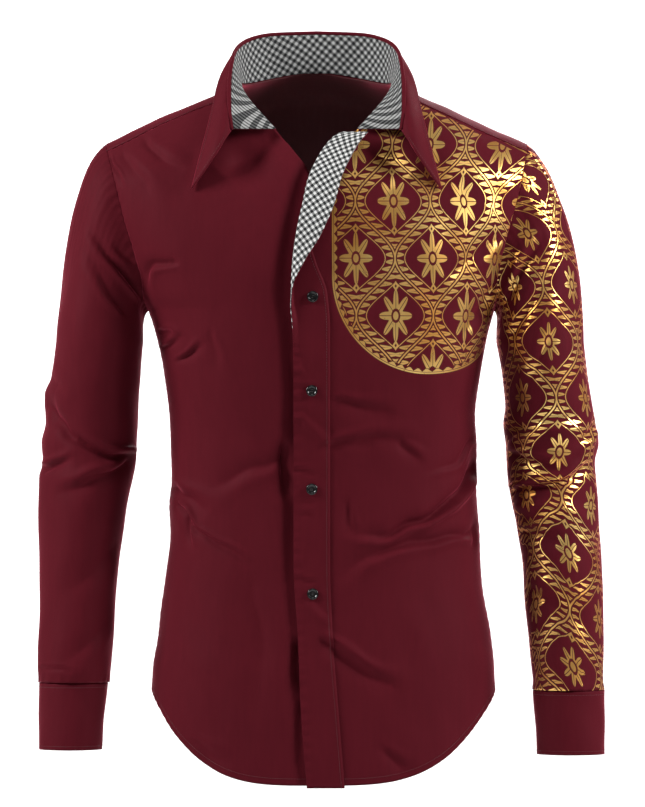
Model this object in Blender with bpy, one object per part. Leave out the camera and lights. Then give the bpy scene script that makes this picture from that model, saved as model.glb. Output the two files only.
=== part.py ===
"""A slim long-sleeve shirt, filled out as it is worn, with its collar open.

X runs towards the wearer's left, Y to the back and Z up, in metres. The origin is in the middle
of the neck, level with the shoulder seams beside it. Every sewn piece is an object of its own.
"""

import math

import bmesh
import bpy
import numpy as np

# Cloth
WALL = 0.0011
CUFF_WALL = 0.0016
SEAM_GAP = 0.0003

# Torso
SQUARE = 2.3  # exponent of the torso's section: 2 is an ellipse, more is squarer
RIDGE_TOP = 0.050  # the shoulder line, carried to the middle of the neck
RIDGE_SLOPE = 0.47
RIDGE_ROUND = 0.050
FRONT_ROUND = 0.060  # height over which the shoulder rounds off into the chest
BACK_ROUND = 0.040
ARMPIT = -0.230
FRONT_SEAM = 0.033  # how far in front of the shoulder line the yoke ends
BACK_SEAM = -0.085
HEM_FRONT = -0.7180
HEM_BACK = -0.7200
HEM_RISE = 0.095
HEM_CURVE = 3.2
NECK_HALF = 0.0785
NECK_END = 31.5  # degrees round the neck from the front, where the collar stand ends

YOKE_BEND = 0.62  # share of the back seam that lies below the yoke's front seams

# Collar: the roll along its fold as (up, out) steps, the leaf's bow, the stand's ends in front
COLLAR_ROLL = ((0.0003, -WALL), (0.0026, -WALL), (0.0042, 0.0004), (0.0026, 0.0022))
LEAF_BOW = 0.004
STAND_FORWARD = 0.0006

# Sleeve heads: the way they leave the armhole, and the two ends of their curve over its chord
HEAD_OUT, HEAD_DOWN = 0.88, -0.47
HEAD_START = 0.003
HEAD_LEAVE, HEAD_ARRIVE = 0.13, 0.43

# Cuffs and buttons
CUFF_OVERLAP = 40.0  # degrees
CUFF_START = 0.62  # turns round the wrist, from its inner side, where the under end lies
CUFF_RISE = 0.10  # the last part of a turn, over which the upper end rises over it
CUFF_LIFT = 0.0024
BUTTON_RADIUS = 0.0058
BUTTON_THICK = 0.0022
BUTTON_X = -0.0047
BUTTON_HEIGHTS = (-0.2163, -0.3115, -0.4150, -0.5210)
BUTTON_PROFILE = (  # shares of the radius and of the thickness
    (0.0, 0.0), (0.86, 0.0), (1.0, 0.35), (1.0, 0.8), (0.9, 1.0), (0.72, 0.98), (0.55, 0.66)
)

# Placket
PLACKET_LIFT = 0.0005
UNDERLAP = 0.0032  # how far the right front lies behind the left one
DROP_START, DROP_WIDTH = 0.024, 0.016  # where it begins to drop, beside the placket's roll
EDGE_UNDER = 0.0015  # how far the left front stops short of the roll
FACING_BOTTOM = -0.255
BEND = 0.0020  # inner radius where the placket turns out
LEAST_BEND = 0.0030  # least length of that bend, where it turns only a little
PLACKET_TOP = -0.0471

LOW_ROWS = 14  # rows of each panel below the armpit
EDGE_ROWS = 5  # rows from there up a front's free edge
NECK_ROWS = 4  # rows along its neckline
TURN_ROWS = 3  # the placket's rows to each of those where it turns out
SEWN_COLUMNS = 4  # columns across the part of the placket that is sewn down


def smooth_between(keys, values, at):
    """Monotone cubic curve through the rows, held level past both ends."""
    steps = np.diff(keys)
    rise = np.diff(values) / steps
    slope = np.concatenate([rise[:1], np.zeros(len(rise) - 1), rise[-1:]])
    same = rise[:-1] * rise[1:] > 0
    both = np.where(same, rise[:-1] + rise[1:], 1.0)
    slope[1:-1] = np.where(same, 2 * rise[:-1] * rise[1:] / both, 0.0)
    at = np.clip(at, keys[0], keys[-1])
    row = np.clip(np.searchsorted(keys, at) - 1, 0, len(steps) - 1)
    t = (at - keys[row]) / steps[row]
    start = values[row] * (1 + 2 * t) * (1 - t) ** 2 + slope[row] * steps[row] * t * (1 - t) ** 2
    end = values[row + 1] * t**2 * (3 - 2 * t) + slope[row + 1] * steps[row] * t**2 * (t - 1)
    return start + end


class Table:
    """Rows with named columns, read smoothly by their first column."""

    def __init__(self, names, *rows):
        self.columns = dict(zip(names.split(), np.array(rows, float).T))
        self.keys = next(iter(self.columns.values()))

    def at(self, name, key):
        return smooth_between(self.keys, self.columns[name], np.asarray(key, float))


# Half widths to the wearer's right and left, and depths to front and back, by height
TORSO = Table(
    "height right left front back",
    (-0.730, 0.1730, 0.1860, 0.1160, 0.1210),
    (-0.640, 0.1722, 0.1870, 0.1130, 0.1180),
    (-0.602, 0.1695, 0.1856, 0.1110, 0.1150),
    (-0.567, 0.1638, 0.1804, 0.1080, 0.1110),
    (-0.514, 0.1576, 0.1715, 0.1040, 0.1040),
    (-0.461, 0.1524, 0.1690, 0.1010, 0.0990),
    (-0.435, 0.1530, 0.1665, 0.1000, 0.0970),
    (-0.405, 0.1503, 0.1650, 0.1000, 0.0960),
    (-0.368, 0.1513, 0.1662, 0.1020, 0.0990),
    (-0.340, 0.1535, 0.1648, 0.1050, 0.1030),
    (-0.302, 0.1586, 0.1702, 0.1090, 0.1090),
    (-0.272, 0.1628, 0.1745, 0.1120, 0.1130),
    (-0.230, 0.1742, 0.1846, 0.1140, 0.1180),
    (-0.215, 0.1860, 0.1920, 0.1135, 0.1200),
    (-0.190, 0.1990, 0.2045, 0.1120, 0.1220),
    (-0.150, 0.2155, 0.2195, 0.1060, 0.1220),
    (-0.100, 0.2310, 0.2340, 0.0920, 0.1200),
    (-0.058, 0.2420, 0.2435, 0.0720, 0.1160),
    (-0.042, 0.2440, 0.2450, 0.0630, 0.1140),
    (0.000, 0.2500, 0.2500, 0.0520, 0.1090),
    (0.030, 0.2550, 0.2550, 0.0480, 0.1050),
)

# Where the armhole crosses the torso's section, in degrees from the middle, by height
ARMHOLE = Table(
    "height angle",
    (-0.230, 90.0),
    (-0.215, 74.0),
    (-0.190, 66.0),
    (-0.150, 62.5),
    (-0.100, 62.5),
)

# The neckline: how far it lies in front (-) or behind (+) the shoulder line, by angle
NECK = Table(
    "angle arc",
    (31.5, -0.0970),
    (46.6, -0.0740),
    (62.0, -0.0520),
    (76.7, -0.0310),
    (90.0, -0.0060),
    (105.0, 0.0060),
    (120.0, 0.0126),
    (150.0, 0.0210),
    (180.0, 0.0252),
)

# The fold along the top of the collar and the leaf's lower edge, by the same angle
COLLAR = Table(
    "angle fold_x fold_y fold_z edge_x edge_y edge_z",
    (31.5, 0.0855, -0.0720, -0.0435, 0.1295, -0.0900, -0.1060),
    (50.0, 0.0880, -0.0580, -0.0220, 0.1190, -0.0790, -0.0640),
    (70.0, 0.0885, -0.0320, 0.0060, 0.1100, -0.0510, -0.0270),
    (90.0, 0.0855, -0.0010, 0.0350, 0.1030, -0.0080, 0.0010),
    (115.0, 0.0740, 0.0330, 0.0500, 0.0880, 0.0400, 0.0060),
    (145.0, 0.0460, 0.0590, 0.0585, 0.0570, 0.0720, 0.0100),
    (180.0, 0.0000, 0.0680, 0.0605, 0.0000, 0.0860, 0.0130),
)

# The placket: its stitch line, the line where it turns out, what lies past that, and the turn
PLACKET = Table(
    "height stitch roll flap turn",
    (-0.7205, 0.0290, -0.0019, 0.0080, 0.0),
    (-0.6400, 0.0225, -0.0080, 0.0080, 0.0),
    (-0.5680, 0.0170, -0.0110, 0.0080, 0.0),
    (-0.4900, 0.0140, -0.0154, 0.0080, 0.0),
    (-0.3000, 0.0140, -0.0154, 0.0080, 0.0),
    (-0.2500, 0.0140, -0.0170, 0.0075, 25.0),
    (-0.2120, 0.0110, -0.0225, 0.0070, 95.0),
    (-0.1820, 0.0000, -0.0213, 0.0170, 148.0),
    (-0.1520, -0.0080, -0.0175, 0.0300, 167.0),
    (-0.1190, -0.0060, -0.0105, 0.0365, 171.0),
    (-0.0967, -0.0015, -0.0057, 0.0375, 172.0),
    (-0.0749, 0.0075, 0.0036, 0.0375, 172.0),
    (-0.0520, 0.0240, 0.0203, 0.0350, 172.0),
    (-0.0426, 0.0440, 0.0400, 0.0240, 172.0),
)

# The free edge of the wearer's right front
UNDER_EDGE = Table(
    "height across",
    (-0.7300, 0.0200),
    (-0.2000, 0.0140),
    (-0.1600, 0.0120),
    (-0.1200, 0.0040),
    (-0.0884, -0.0078),
    (-0.0620, -0.0260),
    (-0.0426, -0.0405),
)

# Sleeves by height: where the inner and outer sides hang, the middle's y and the half depth
SLEEVES = {
    "right": Table(
        "height inner outer middle depth",
        (-0.6146, 0.2145, 0.2886, -0.0220, 0.0430),
        (-0.5940, 0.2116, 0.2886, -0.0185, 0.0445),
        (-0.5140, 0.2054, 0.2876, -0.0060, 0.0500),
        (-0.4400, 0.1980, 0.2876, 0.0040, 0.0555),
        (-0.4020, 0.1920, 0.2876, 0.0060, 0.0580),
        (-0.3860, 0.1895, 0.2840, 0.0060, 0.0590),
        (-0.3680, 0.1880, 0.2850, 0.0060, 0.0600),
        (-0.3440, 0.1860, 0.2800, 0.0050, 0.0615),
        (-0.3180, 0.1856, 0.2800, 0.0035, 0.0630),
        (-0.3000, 0.1840, 0.2740, 0.0020, 0.0640),
        (-0.2620, 0.1800, 0.2695, 0.0000, 0.0660),
    ),
    "left": Table(
        "height inner outer middle depth",
        (-0.6225, 0.2238, 0.2990, -0.0220, 0.0430),
        (-0.5750, 0.2190, 0.2980, -0.0155, 0.0455),
        (-0.5290, 0.2150, 0.2970, -0.0080, 0.0490),
        (-0.4900, 0.2137, 0.2970, -0.0020, 0.0520),
        (-0.4500, 0.2090, 0.2938, 0.0040, 0.0550),
        (-0.4280, 0.2040, 0.2930, 0.0050, 0.0565),
        (-0.4060, 0.2000, 0.2915, 0.0060, 0.0580),
        (-0.3860, 0.1980, 0.2900, 0.0060, 0.0590),
        (-0.3680, 0.1965, 0.2938, 0.0060, 0.0600),
        (-0.3480, 0.1940, 0.2910, 0.0050, 0.0610),
        (-0.3270, 0.1970, 0.2870, 0.0035, 0.0625),
        (-0.3000, 0.1955, 0.2830, 0.0020, 0.0640),
        (-0.2620, 0.1890, 0.2790, 0.0000, 0.0660),
    ),
}

# Cuffs by height, as the sleeves
CUFFS = {
    "right": Table(
        "height inner outer middle depth",
        (-0.6840, 0.2220, 0.2870, -0.0310, 0.0380),
        (-0.6500, 0.2200, 0.2880, -0.0265, 0.0395),
        (-0.6154, 0.2165, 0.2880, -0.0225, 0.0415),
    ),
    "left": Table(
        "height inner outer middle depth",
        (-0.6890, 0.2285, 0.2985, -0.0310, 0.0380),
        (-0.6560, 0.2265, 0.2990, -0.0265, 0.0395),
        (-0.6233, 0.2245, 0.2990, -0.0225, 0.0415),
    ),
}

# The largest folds, as seen from the front or the back: a line, its width, and how far out it is
FOLD_COLUMNS = "piece face x0 z0 x1 z1 width out"
FOLDS = (
    ("sleeve_right", -1, -0.279, -0.322, -0.236, -0.373, 0.011, -0.0060),
    ("sleeve_right", -1, -0.236, -0.373, -0.192, -0.381, 0.010, -0.0055),
    ("sleeve_right", -1, -0.286, -0.399, -0.250, -0.389, 0.010, -0.0050),
    ("sleeve_right", -1, -0.197, -0.386, -0.253, -0.421, 0.013, 0.0050),
    ("sleeve_right", 1, -0.284, -0.352, -0.200, -0.392, 0.012, -0.0050),
    ("sleeve_right", 1, -0.280, -0.410, -0.205, -0.362, 0.013, 0.0045),
    ("sleeve_left", -1, 0.205, -0.416, 0.290, -0.388, 0.011, -0.0060),
    ("sleeve_left", -1, 0.210, -0.362, 0.288, -0.352, 0.013, 0.0050),
    ("sleeve_left", 1, 0.205, -0.350, 0.290, -0.398, 0.012, -0.0050),
    ("sleeve_left", 1, 0.212, -0.420, 0.288, -0.440, 0.013, 0.0045),
    ("front_right", -1, -0.150, -0.410, -0.070, -0.490, 0.016, -0.0050),
    ("front_left", -1, 0.165, -0.398, 0.125, -0.440, 0.012, -0.0060),
    ("front_left", -1, 0.125, -0.440, 0.037, -0.462, 0.014, -0.0040),
    ("back", 1, -0.140, -0.395, -0.010, -0.440, 0.018, -0.0055),
    ("back", 1, 0.150, -0.405, 0.020, -0.452, 0.018, -0.0055),
)


def mix(start, end, share):
    return start + (end - start) * share


def ridge(x):
    """Height of the shoulder line."""
    return RIDGE_TOP - RIDGE_SLOPE * np.hypot(x, RIDGE_ROUND)


def half_width(side, height):
    return np.where(side < 0, TORSO.at("right", height), TORSO.at("left", height))


def across(angle, height):
    """How far out the torso's section is at this angle, 90 degrees being its side."""
    share = np.abs(np.sin(np.radians(angle))) ** (2 / SQUARE)
    return np.sign(angle) * half_width(angle, height) * share


def angle_of(x, height):
    share = np.clip(np.abs(x) / half_width(x, height), 0, 1)
    return np.sign(x) * np.degrees(np.arcsin(share ** (SQUARE / 2)))


def body(x, height, face):
    """The point of the cloth's outer face here, on the front (face -1) or the back (face 1)."""
    rounding = np.where(face < 0, FRONT_ROUND, BACK_ROUND)
    below = np.clip((ridge(x) - height) / rounding, 0, 1)
    share = np.clip(np.abs(x) / half_width(x, height), 0, 1)
    flat = (1 - share**SQUARE) ** (1 / SQUARE)
    depth = np.where(face < 0, TORSO.at("front", height), TORSO.at("back", height))
    y = face * (depth * flat * np.sqrt(1 - (1 - below) ** 2) + SEAM_GAP / 2)
    return np.stack(np.broadcast_arrays(x, y, height), -1)


def below_ridge(arc):
    """How far a point this far over the shoulder has come down: in front (-) or behind (+)."""
    rounding = np.where(arc < 0, FRONT_ROUND, BACK_ROUND)
    turn = np.abs(arc) / rounding
    straight = np.abs(arc) - rounding * math.pi / 2
    return np.where(turn < math.pi / 2, rounding * (1 - np.cos(turn)), rounding + straight)


def arc_to(x, height, face):
    """How far over the shoulder this height lies: the other way round of below_ridge."""
    rounding = np.where(face < 0, FRONT_ROUND, BACK_ROUND)
    down = ridge(x) - height
    turn = np.arccos(np.clip(1 - down / rounding, -1, 1))
    return face * np.where(down < rounding, rounding * turn, down + rounding * (math.pi / 2 - 1))


def neckline(angle):
    """The neckline's x, for the wearer's left, and its arc over the shoulder."""
    return NECK_HALF * np.sin(np.radians(angle)), NECK.at("arc", angle)


def neck_point(angle):
    x, arc = neckline(angle)
    return body(x, ridge(x) - below_ridge(arc), np.sign(arc))


def armhole_heights(face, lowest, highest, count):
    """Heights that part the armhole's edge evenly along its length."""
    heights = np.linspace(lowest, highest, 400)
    edge = body(across(ARMHOLE.at("angle", heights), heights), heights, face)
    length = np.concatenate([[0], np.cumsum(np.linalg.norm(np.diff(edge, axis=0), axis=1))])
    return np.interp(np.linspace(0, length[-1], count), length, heights)


def hem(angle, face):
    lowest = HEM_FRONT if face < 0 else HEM_BACK
    return lowest + HEM_RISE * np.abs(np.sin(np.radians(angle))) ** HEM_CURVE


def normals_of(grid, around, inside):
    """Normals that point away from the inside."""
    if around:
        padded = np.concatenate([grid[:, -1:], grid, grid[:, :1]], 1)
        along = np.gradient(padded, axis=1)[:, 1:-1]
    else:
        along = np.gradient(grid, axis=1)
    normals = np.cross(along, np.gradient(grid, axis=0))
    normals /= np.maximum(np.linalg.norm(normals, axis=-1, keepdims=True), 1e-12)
    return normals * np.sign(np.sum(normals * (grid - inside)))


def fold_out(piece, points, normals):
    """How far each point is moved out by the folds of its piece."""
    out = np.zeros(points.shape[:-1])
    seen = points[..., [0, 2]]
    for values in FOLDS:
        row = dict(zip(FOLD_COLUMNS.split(), values))
        if row["piece"] != piece:
            continue
        start = np.array([row["x0"], row["z0"]])
        line = np.array([row["x1"], row["z1"]]) - start
        share = np.clip((seen - start) @ line / (line @ line), 0, 1)
        away = np.linalg.norm(seen - start - share[..., None] * line, axis=-1)
        facing = np.clip(row["face"] * normals[..., 1] * 2, 0, 1)
        fade = 0.35 + 0.65 * np.sin(math.pi * share)
        out += row["out"] * fade * facing * np.exp(-((away / row["width"]) ** 2))
    return out


def folded(piece, grid, around, inside):
    normals = normals_of(grid, around, inside)
    return grid + normals * fold_out(piece, grid, normals)[..., None]


def material(name, colour, roughness):
    made = bpy.data.materials.new(name)
    made.use_nodes = True
    shader = made.node_tree.nodes["Principled BSDF"]
    shader.inputs["Base Color"].default_value = (*colour, 1)
    shader.inputs["Roughness"].default_value = roughness
    shader.inputs["Metallic"].default_value = 0
    return made


def add_object(name, points, faces, finish):
    mesh = bpy.data.meshes.new(name)
    mesh.from_pydata([tuple(point) for point in points], [], faces)
    shape = bmesh.new()
    shape.from_mesh(mesh)
    bmesh.ops.recalc_face_normals(shape, faces=shape.faces)
    shape.to_mesh(mesh)
    shape.free()
    mesh.shade_smooth()
    mesh.set_sharp_from_angle(angle=math.radians(50))
    made = bpy.data.objects.new(name, mesh)
    bpy.context.collection.objects.link(made)
    mesh.materials.append(finish)
    return made


def cloth(name, outer, normals, finish, wall=WALL, around=False):
    """A wall of cloth behind a grid of points, closed round its free edges."""
    rows, columns = outer.shape[:2]
    points = np.concatenate([outer.reshape(-1, 3), (outer - normals * wall).reshape(-1, 3)])
    inner = rows * columns
    last = columns if around else columns - 1

    def corner(row, column):
        return row * columns + column % columns

    faces = []
    for row in range(rows - 1):
        for column in range(last):
            quad = [
                corner(row, column),
                corner(row, column + 1),
                corner(row + 1, column + 1),
                corner(row + 1, column),
            ]
            for part in (quad[:3], [quad[0], *quad[2:]]):
                faces.append(part)
                faces.append([inner + index for index in reversed(part)])
    for column in range(last):
        for row in (0, rows - 1):
            start, end = corner(row, column), corner(row, column + 1)
            faces.append([start, end, inner + end, inner + start])
    if not around:
        for row in range(rows - 1):
            for column in (0, columns - 1):
                start, end = corner(row, column), corner(row + 1, column)
                faces.append([start, end, inner + end, inner + start])
    return add_object(name, points, faces, finish)


def front_grid(side, edge, columns=12):
    """A front from its free edge to its side seam, from the hem up to the yoke."""
    rows = []
    shares = np.linspace(0, 1, columns + 1)
    for share in np.linspace(0, 1, LOW_ROWS + 1):
        middle = mix(HEM_FRONT, ARMPIT, share)
        angles = mix(angle_of(edge(middle), middle), side * 90.0, shares)
        heights = mix(hem(angles, -1), ARMPIT, share)
        rows.append(body(across(angles, heights), heights, -1))

    neck_angles = np.linspace(NECK_END, neck_seam_angle(), NECK_ROWS + 1)
    neck_x, neck_arc = neckline(neck_angles)
    neck_z = ridge(neck_x) - below_ridge(neck_arc)
    edge_z = np.linspace(ARMPIT, neck_z[0], EDGE_ROWS + 1)[1:-1]
    inner_x = np.concatenate([edge(edge_z), side * neck_x])
    inner_z = np.concatenate([edge_z, neck_z])
    outer_z = front_armhole(EDGE_ROWS + NECK_ROWS + 1)[1:]
    for row, (x, z, z_out) in enumerate(zip(inner_x, inner_z, outer_z)):
        share = (row + 1) / (EDGE_ROWS + NECK_ROWS)
        angles = mix(angle_of(x, z), side * ARMHOLE.at("angle", z_out), shares)
        heights = mix(z, z_out, shares)
        seam = ridge(across(angles, heights)) - below_ridge(-FRONT_SEAM)
        heights = heights + share**3 * (seam - mix(seam[0], seam[-1], shares))
        rows.append(body(across(angles, heights), heights, -1))
    return np.array(rows)


def neck_seam_angle():
    """Where the yoke's front seam meets the neckline."""
    angles = np.linspace(NECK_END, 90, 400)
    return float(np.interp(-FRONT_SEAM, NECK.at("arc", angles), angles))


def front_seam_height():
    """Height at which the yoke's front seam meets the armhole."""
    heights = np.linspace(-0.10, -0.055, 400)
    arcs = arc_to(across(ARMHOLE.at("angle", heights), heights), heights, -1)
    return float(np.interp(-FRONT_SEAM, arcs, heights))


def front_armhole(count):
    return armhole_heights(-1, ARMPIT, front_seam_height(), count)


def back_grid(columns=22, high_rows=6):
    rows = []
    sides = np.linspace(-1, 1, columns + 1)
    for share in np.linspace(0, 1, LOW_ROWS + 1):
        heights = mix(hem(90 * sides, 1), ARMPIT, share)
        rows.append(body(across(90 * sides, heights), heights, 1))
    for height in armhole_heights(1, ARMPIT, BACK_SEAM - 3 * SEAM_GAP, high_rows + 1)[1:]:
        angles = sides * ARMHOLE.at("angle", height)
        rows.append(body(across(angles, height), np.full(columns + 1, height), 1))
    return np.array(rows)


def over_shoulder(angles, arcs):
    """Points at these section angles, carried this far over the shoulder."""
    heights = np.zeros(len(angles))
    for _ in range(12):
        heights = ridge(across(angles, heights)) - below_ridge(arcs)
    return body(across(angles, heights), heights, np.where(arcs < 0, -1, 1))


def yoke_grid(seam_columns=10, neck_columns=10, rows=6):
    """From the front seams and the back of the neckline down to the seam across the back."""
    top_angle, corner = ARMHOLE.at("angle", BACK_SEAM), neck_seam_angle()
    seam = -FRONT_SEAM + 2 * SEAM_GAP
    corner_x = NECK_HALF * math.sin(math.radians(corner))
    corner_angle = angle_of(corner_x, ridge(corner_x) - below_ridge(seam))
    outside = mix(top_angle, corner_angle, np.linspace(0, 1, seam_columns + 1))
    neck_x, neck_arc = neckline(np.linspace(corner, 180, neck_columns // 2 * 2 + 1)[1:])
    around = angle_of(neck_x, ridge(neck_x) - below_ridge(neck_arc))
    start = np.concatenate([outside, around])
    arcs = np.concatenate([np.full(seam_columns + 1, seam), neck_arc])
    lower = np.concatenate(
        [
            mix(top_angle, YOKE_BEND * top_angle, np.linspace(0, 1, seam_columns + 1)),
            mix(YOKE_BEND * top_angle, 0.0, np.linspace(0, 1, len(neck_x) + 1)[1:]),
        ]
    )
    start = np.concatenate([-start[:-1], start[::-1]])
    arcs = np.concatenate([arcs[:-1], arcs[::-1]])
    lower = np.concatenate([-lower[:-1], lower[::-1]])
    seam_arcs = arc_to(across(lower, BACK_SEAM), np.full(len(lower), BACK_SEAM), 1)
    shares = np.linspace(0, 1, rows + 1)
    return np.array([over_shoulder(mix(start, lower, s), mix(arcs, seam_arcs, s)) for s in shares])


def sleeve_ring(table, side, height, turns):
    """A ring from the sleeve's inner side round its front, in whole turns."""
    inner, outer = table.at("inner", height), table.at("outer", height)
    x = (inner + outer) / 2 - (outer - inner) / 2 * np.cos(2 * math.pi * turns)
    y = table.at("middle", height) - table.at("depth", height) * np.sin(2 * math.pi * turns)
    return np.stack([side * x, y, np.full(len(turns), height)], -1)


SLEEVE_HEIGHTS = (0.030, 0.056, 0.078, 0.096, 0.114, 0.132, 0.150, 0.172, 0.205, 0.248, 0.300, 0.353)
CAP_TOP = -0.262  # below this the sleeve hangs free of its armhole


def sleeve_grid(name, side, armhole, cap_rows=7):
    """From the armhole's own edge points down to the cuff."""
    table = SLEEVES[name]
    steps = np.linalg.norm(np.diff(armhole, axis=0, append=armhole[:1]), axis=1)
    turns = np.concatenate([[0], np.cumsum(steps)[:-1]]) / steps.sum()
    hang = sleeve_ring(table, side, CAP_TOP, turns)
    chord = np.linalg.norm(hang - armhole, axis=1)[:, None]
    outward = np.array([side * HEAD_OUT, 0, HEAD_DOWN])
    start = armhole + outward * SEAM_GAP * 2
    leave = start + outward * (HEAD_START + HEAD_LEAVE * chord)
    arrive = hang + np.array([0, 0, 1]) * HEAD_ARRIVE * chord
    rows = []
    for t in np.linspace(0, 1, cap_rows + 1):
        near = start * (1 - t) ** 3 + 3 * leave * t * (1 - t) ** 2
        far = 3 * arrive * t**2 * (1 - t) + hang * t**3
        rows.append(near + far)
    bottom = table.keys[0]
    for down in SLEEVE_HEIGHTS:
        height = CAP_TOP - down * (CAP_TOP - bottom) / SLEEVE_HEIGHTS[-1]
        rows.append(sleeve_ring(table, side, height, turns))
    return np.array(rows)


def ring_middles(grid):
    return grid.mean(axis=1, keepdims=True)


def cuff_grid(name, side, columns=28, rows=3):
    """A strip round the wrist whose end laps over its start, at the outer back."""
    table = CUFFS[name]
    turns = np.linspace(0, 1 + CUFF_OVERLAP / 360, columns + 1)
    lift = CUFF_LIFT * np.clip((turns - 1 + CUFF_RISE) / CUFF_RISE, 0, 1) ** 2
    rings = []
    for height in np.linspace(table.keys[-1], table.keys[0], rows + 1):
        ring = sleeve_ring(table, side, height, turns + CUFF_START)
        middle = (ring.max(axis=0) + ring.min(axis=0)) / 2
        away = ring - middle
        away /= np.linalg.norm(away, axis=1, keepdims=True)
        rings.append(ring + away * lift[:, None])
    return np.array(rings)


def placket_grid(heights, arc_columns=3):
    """The band's outer face from its stitch line to its free edge, and that face's normals."""
    grid = []
    for height in heights:
        stitch, roll, flap, turn = (
            float(PLACKET.at(name, height)) for name in ("stitch", "roll", "flap", "turn")
        )
        sewn = np.linspace(stitch, roll, SEWN_COLUMNS)
        points = body(sewn, np.full(SEWN_COLUMNS, height), -1)
        slope = (body(sewn + 1e-4, height, -1) - points)[:, :2] / 1e-4
        outward = np.stack([slope[:, 1], -slope[:, 0], np.zeros(SEWN_COLUMNS)], -1)
        outward /= np.linalg.norm(outward, axis=1, keepdims=True)
        points = points + outward * (PLACKET_LIFT + WALL)
        normal = outward[-1]
        along = np.array([normal[1], -normal[0], 0.0])
        bend = max(math.radians(turn), 1e-3)
        arc = max(BEND * bend, LEAST_BEND)
        radius = arc / bend
        steps = np.linspace(0, 1, arc_columns + 1)[1:] * arc
        rolled = [radius * (along * math.sin(a / radius) + normal * (1 - math.cos(a / radius)))
                  for a in steps]
        ahead = along * math.cos(bend) + normal * math.sin(bend)
        flat = [rolled[-1] + ahead * length for length in np.linspace(0, flap - arc, 3)[1:]]
        grid.append(np.concatenate([points, points[-1] + np.array(rolled + flat)]))
    return np.array(grid)


def collar_grids(columns=30, stand_rows=3, fall_rows=4):
    """The stand from the neckline to the fold, and the leaf from the fold to its edge."""
    turns = np.linspace(NECK_END, 360 - NECK_END, columns + 1)
    side = np.where(turns <= 180, 1.0, -1.0)
    angles = np.where(turns <= 180, turns, 360 - turns)
    mirror = np.stack([side, np.ones_like(side), np.ones_like(side)], -1)
    foot = neck_point(angles) * mirror
    fold = np.stack([COLLAR.at("fold_" + axis, angles) for axis in "xyz"], -1) * mirror
    edge = np.stack([COLLAR.at("edge_" + axis, angles) for axis in "xyz"], -1) * mirror
    up = fold - foot
    up /= np.linalg.norm(up, axis=1, keepdims=True)
    out = np.cross(np.gradient(fold, axis=0), up)
    out /= np.linalg.norm(out, axis=1, keepdims=True)
    out *= np.sign(np.sum(out * fold * np.array([1, 1, 0])))
    forward = np.array([0.0, -STAND_FORWARD, 0.0]) * np.clip((70 - angles) / 30, 0, 1)[:, None]
    start = foot + up * SEAM_GAP * 2 + forward
    stand = np.array([mix(start, fold, share) for share in np.linspace(0, 1, stand_rows + 1)])
    leaf = [fold + up * rise + out * aside for rise, aside in COLLAR_ROLL]
    for share in np.linspace(0, 1, fall_rows + 1)[1:]:
        bow = LEAF_BOW * math.sin(math.pi * share)
        leaf.append(mix(leaf[len(COLLAR_ROLL) - 1], edge, share) + out * bow)
    return stand, np.array(leaf)


def button(name, centre, normal, finish, sides=14):
    """A round button with a raised rim and a dished middle."""
    normal = normal / np.linalg.norm(normal)
    first = np.cross(normal, (0, 0, 1))
    first /= np.linalg.norm(first)
    second = np.cross(normal, first)
    points = [centre]
    for radius, rise in BUTTON_PROFILE[1:]:
        for step in range(sides):
            turn = 2 * math.pi * step / sides
            spoke = first * math.cos(turn) + second * math.sin(turn)
            points.append(centre + spoke * radius * BUTTON_RADIUS + normal * rise * BUTTON_THICK)
    points.append(centre + normal * BUTTON_PROFILE[-1][1] * BUTTON_THICK)
    faces = []
    for step in range(sides):
        beside = (step + 1) % sides
        faces.append([0, 1 + step, 1 + beside])
        for ring in range(len(BUTTON_PROFILE) - 2):
            low = 1 + ring * sides
            faces.append([low + step, low + beside, low + sides + beside, low + sides + step])
        top = 1 + (len(BUTTON_PROFILE) - 2) * sides
        faces.append([top + step, top + beside, len(points) - 1])
    return add_object(name, points, faces, finish)


def outward_at(x, height, face):
    """The torso's outward normal."""
    here = body(x, height, face)
    aside = body(x + 1e-4, height, face) - here
    above = body(x, height + 1e-4, face) - here
    normal = np.cross(aside, above)
    return normal / np.linalg.norm(normal) * np.sign(normal[1] * face)


for leftover in list(bpy.data.objects):
    bpy.data.objects.remove(leftover)

POPLIN = material("burgundy_poplin", (0.107, 0.010, 0.018), 0.55)
PRINTED = material("burgundy_poplin_printed", (0.150, 0.030, 0.015), 0.50)
GINGHAM = material("black_white_gingham", (0.300, 0.300, 0.300), 0.65)
BUTTON = material("black_button", (0.010, 0.009, 0.009), 0.25)

NECK_MIDDLE = np.zeros(3)


def torso_inside(grid):
    """Points inside the torso, level with the grid's own."""
    return grid * np.array([0.0, 0.0, 1.0])


def right_edge(height):
    return UNDER_EDGE.at("across", height)


def left_edge(height):
    return PLACKET.at("roll", height) + EDGE_UNDER


# Fronts: the right one drops behind the left one where they overlap
right = front_grid(-1, right_edge)
past = right[..., 0] - PLACKET.at("roll", right[..., 2]) + DROP_START
drop = np.clip(past / DROP_WIDTH, 0, 1)
right[..., 1] += UNDERLAP * drop**2 * (3 - 2 * drop)
right = folded("front_right", right, False, torso_inside(right))
left = front_grid(1, left_edge)
flat_left = left
left = folded("front_left", left, False, torso_inside(left))
back = back_grid()
yoke = yoke_grid()
armholes = {}
for name, side, front, end in (("right", -1, right, 0), ("left", 1, flat_left, -1)):
    ring = np.concatenate([front[LOW_ROWS:, -1], yoke[1:-1, end], back[LOW_ROWS + 1 :, end][::-1]])
    armholes[name] = ring
back = folded("back", back, False, torso_inside(back))

cloth("front_right", right, normals_of(right, False, torso_inside(right)), POPLIN)
cloth("front_left", left, normals_of(left, False, torso_inside(left)), PRINTED)
cloth("back", back, normals_of(back, False, torso_inside(back)), POPLIN)
cloth("yoke", yoke, normals_of(yoke, False, torso_inside(yoke) + np.array([0, 0, -0.2])), POPLIN)

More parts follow.
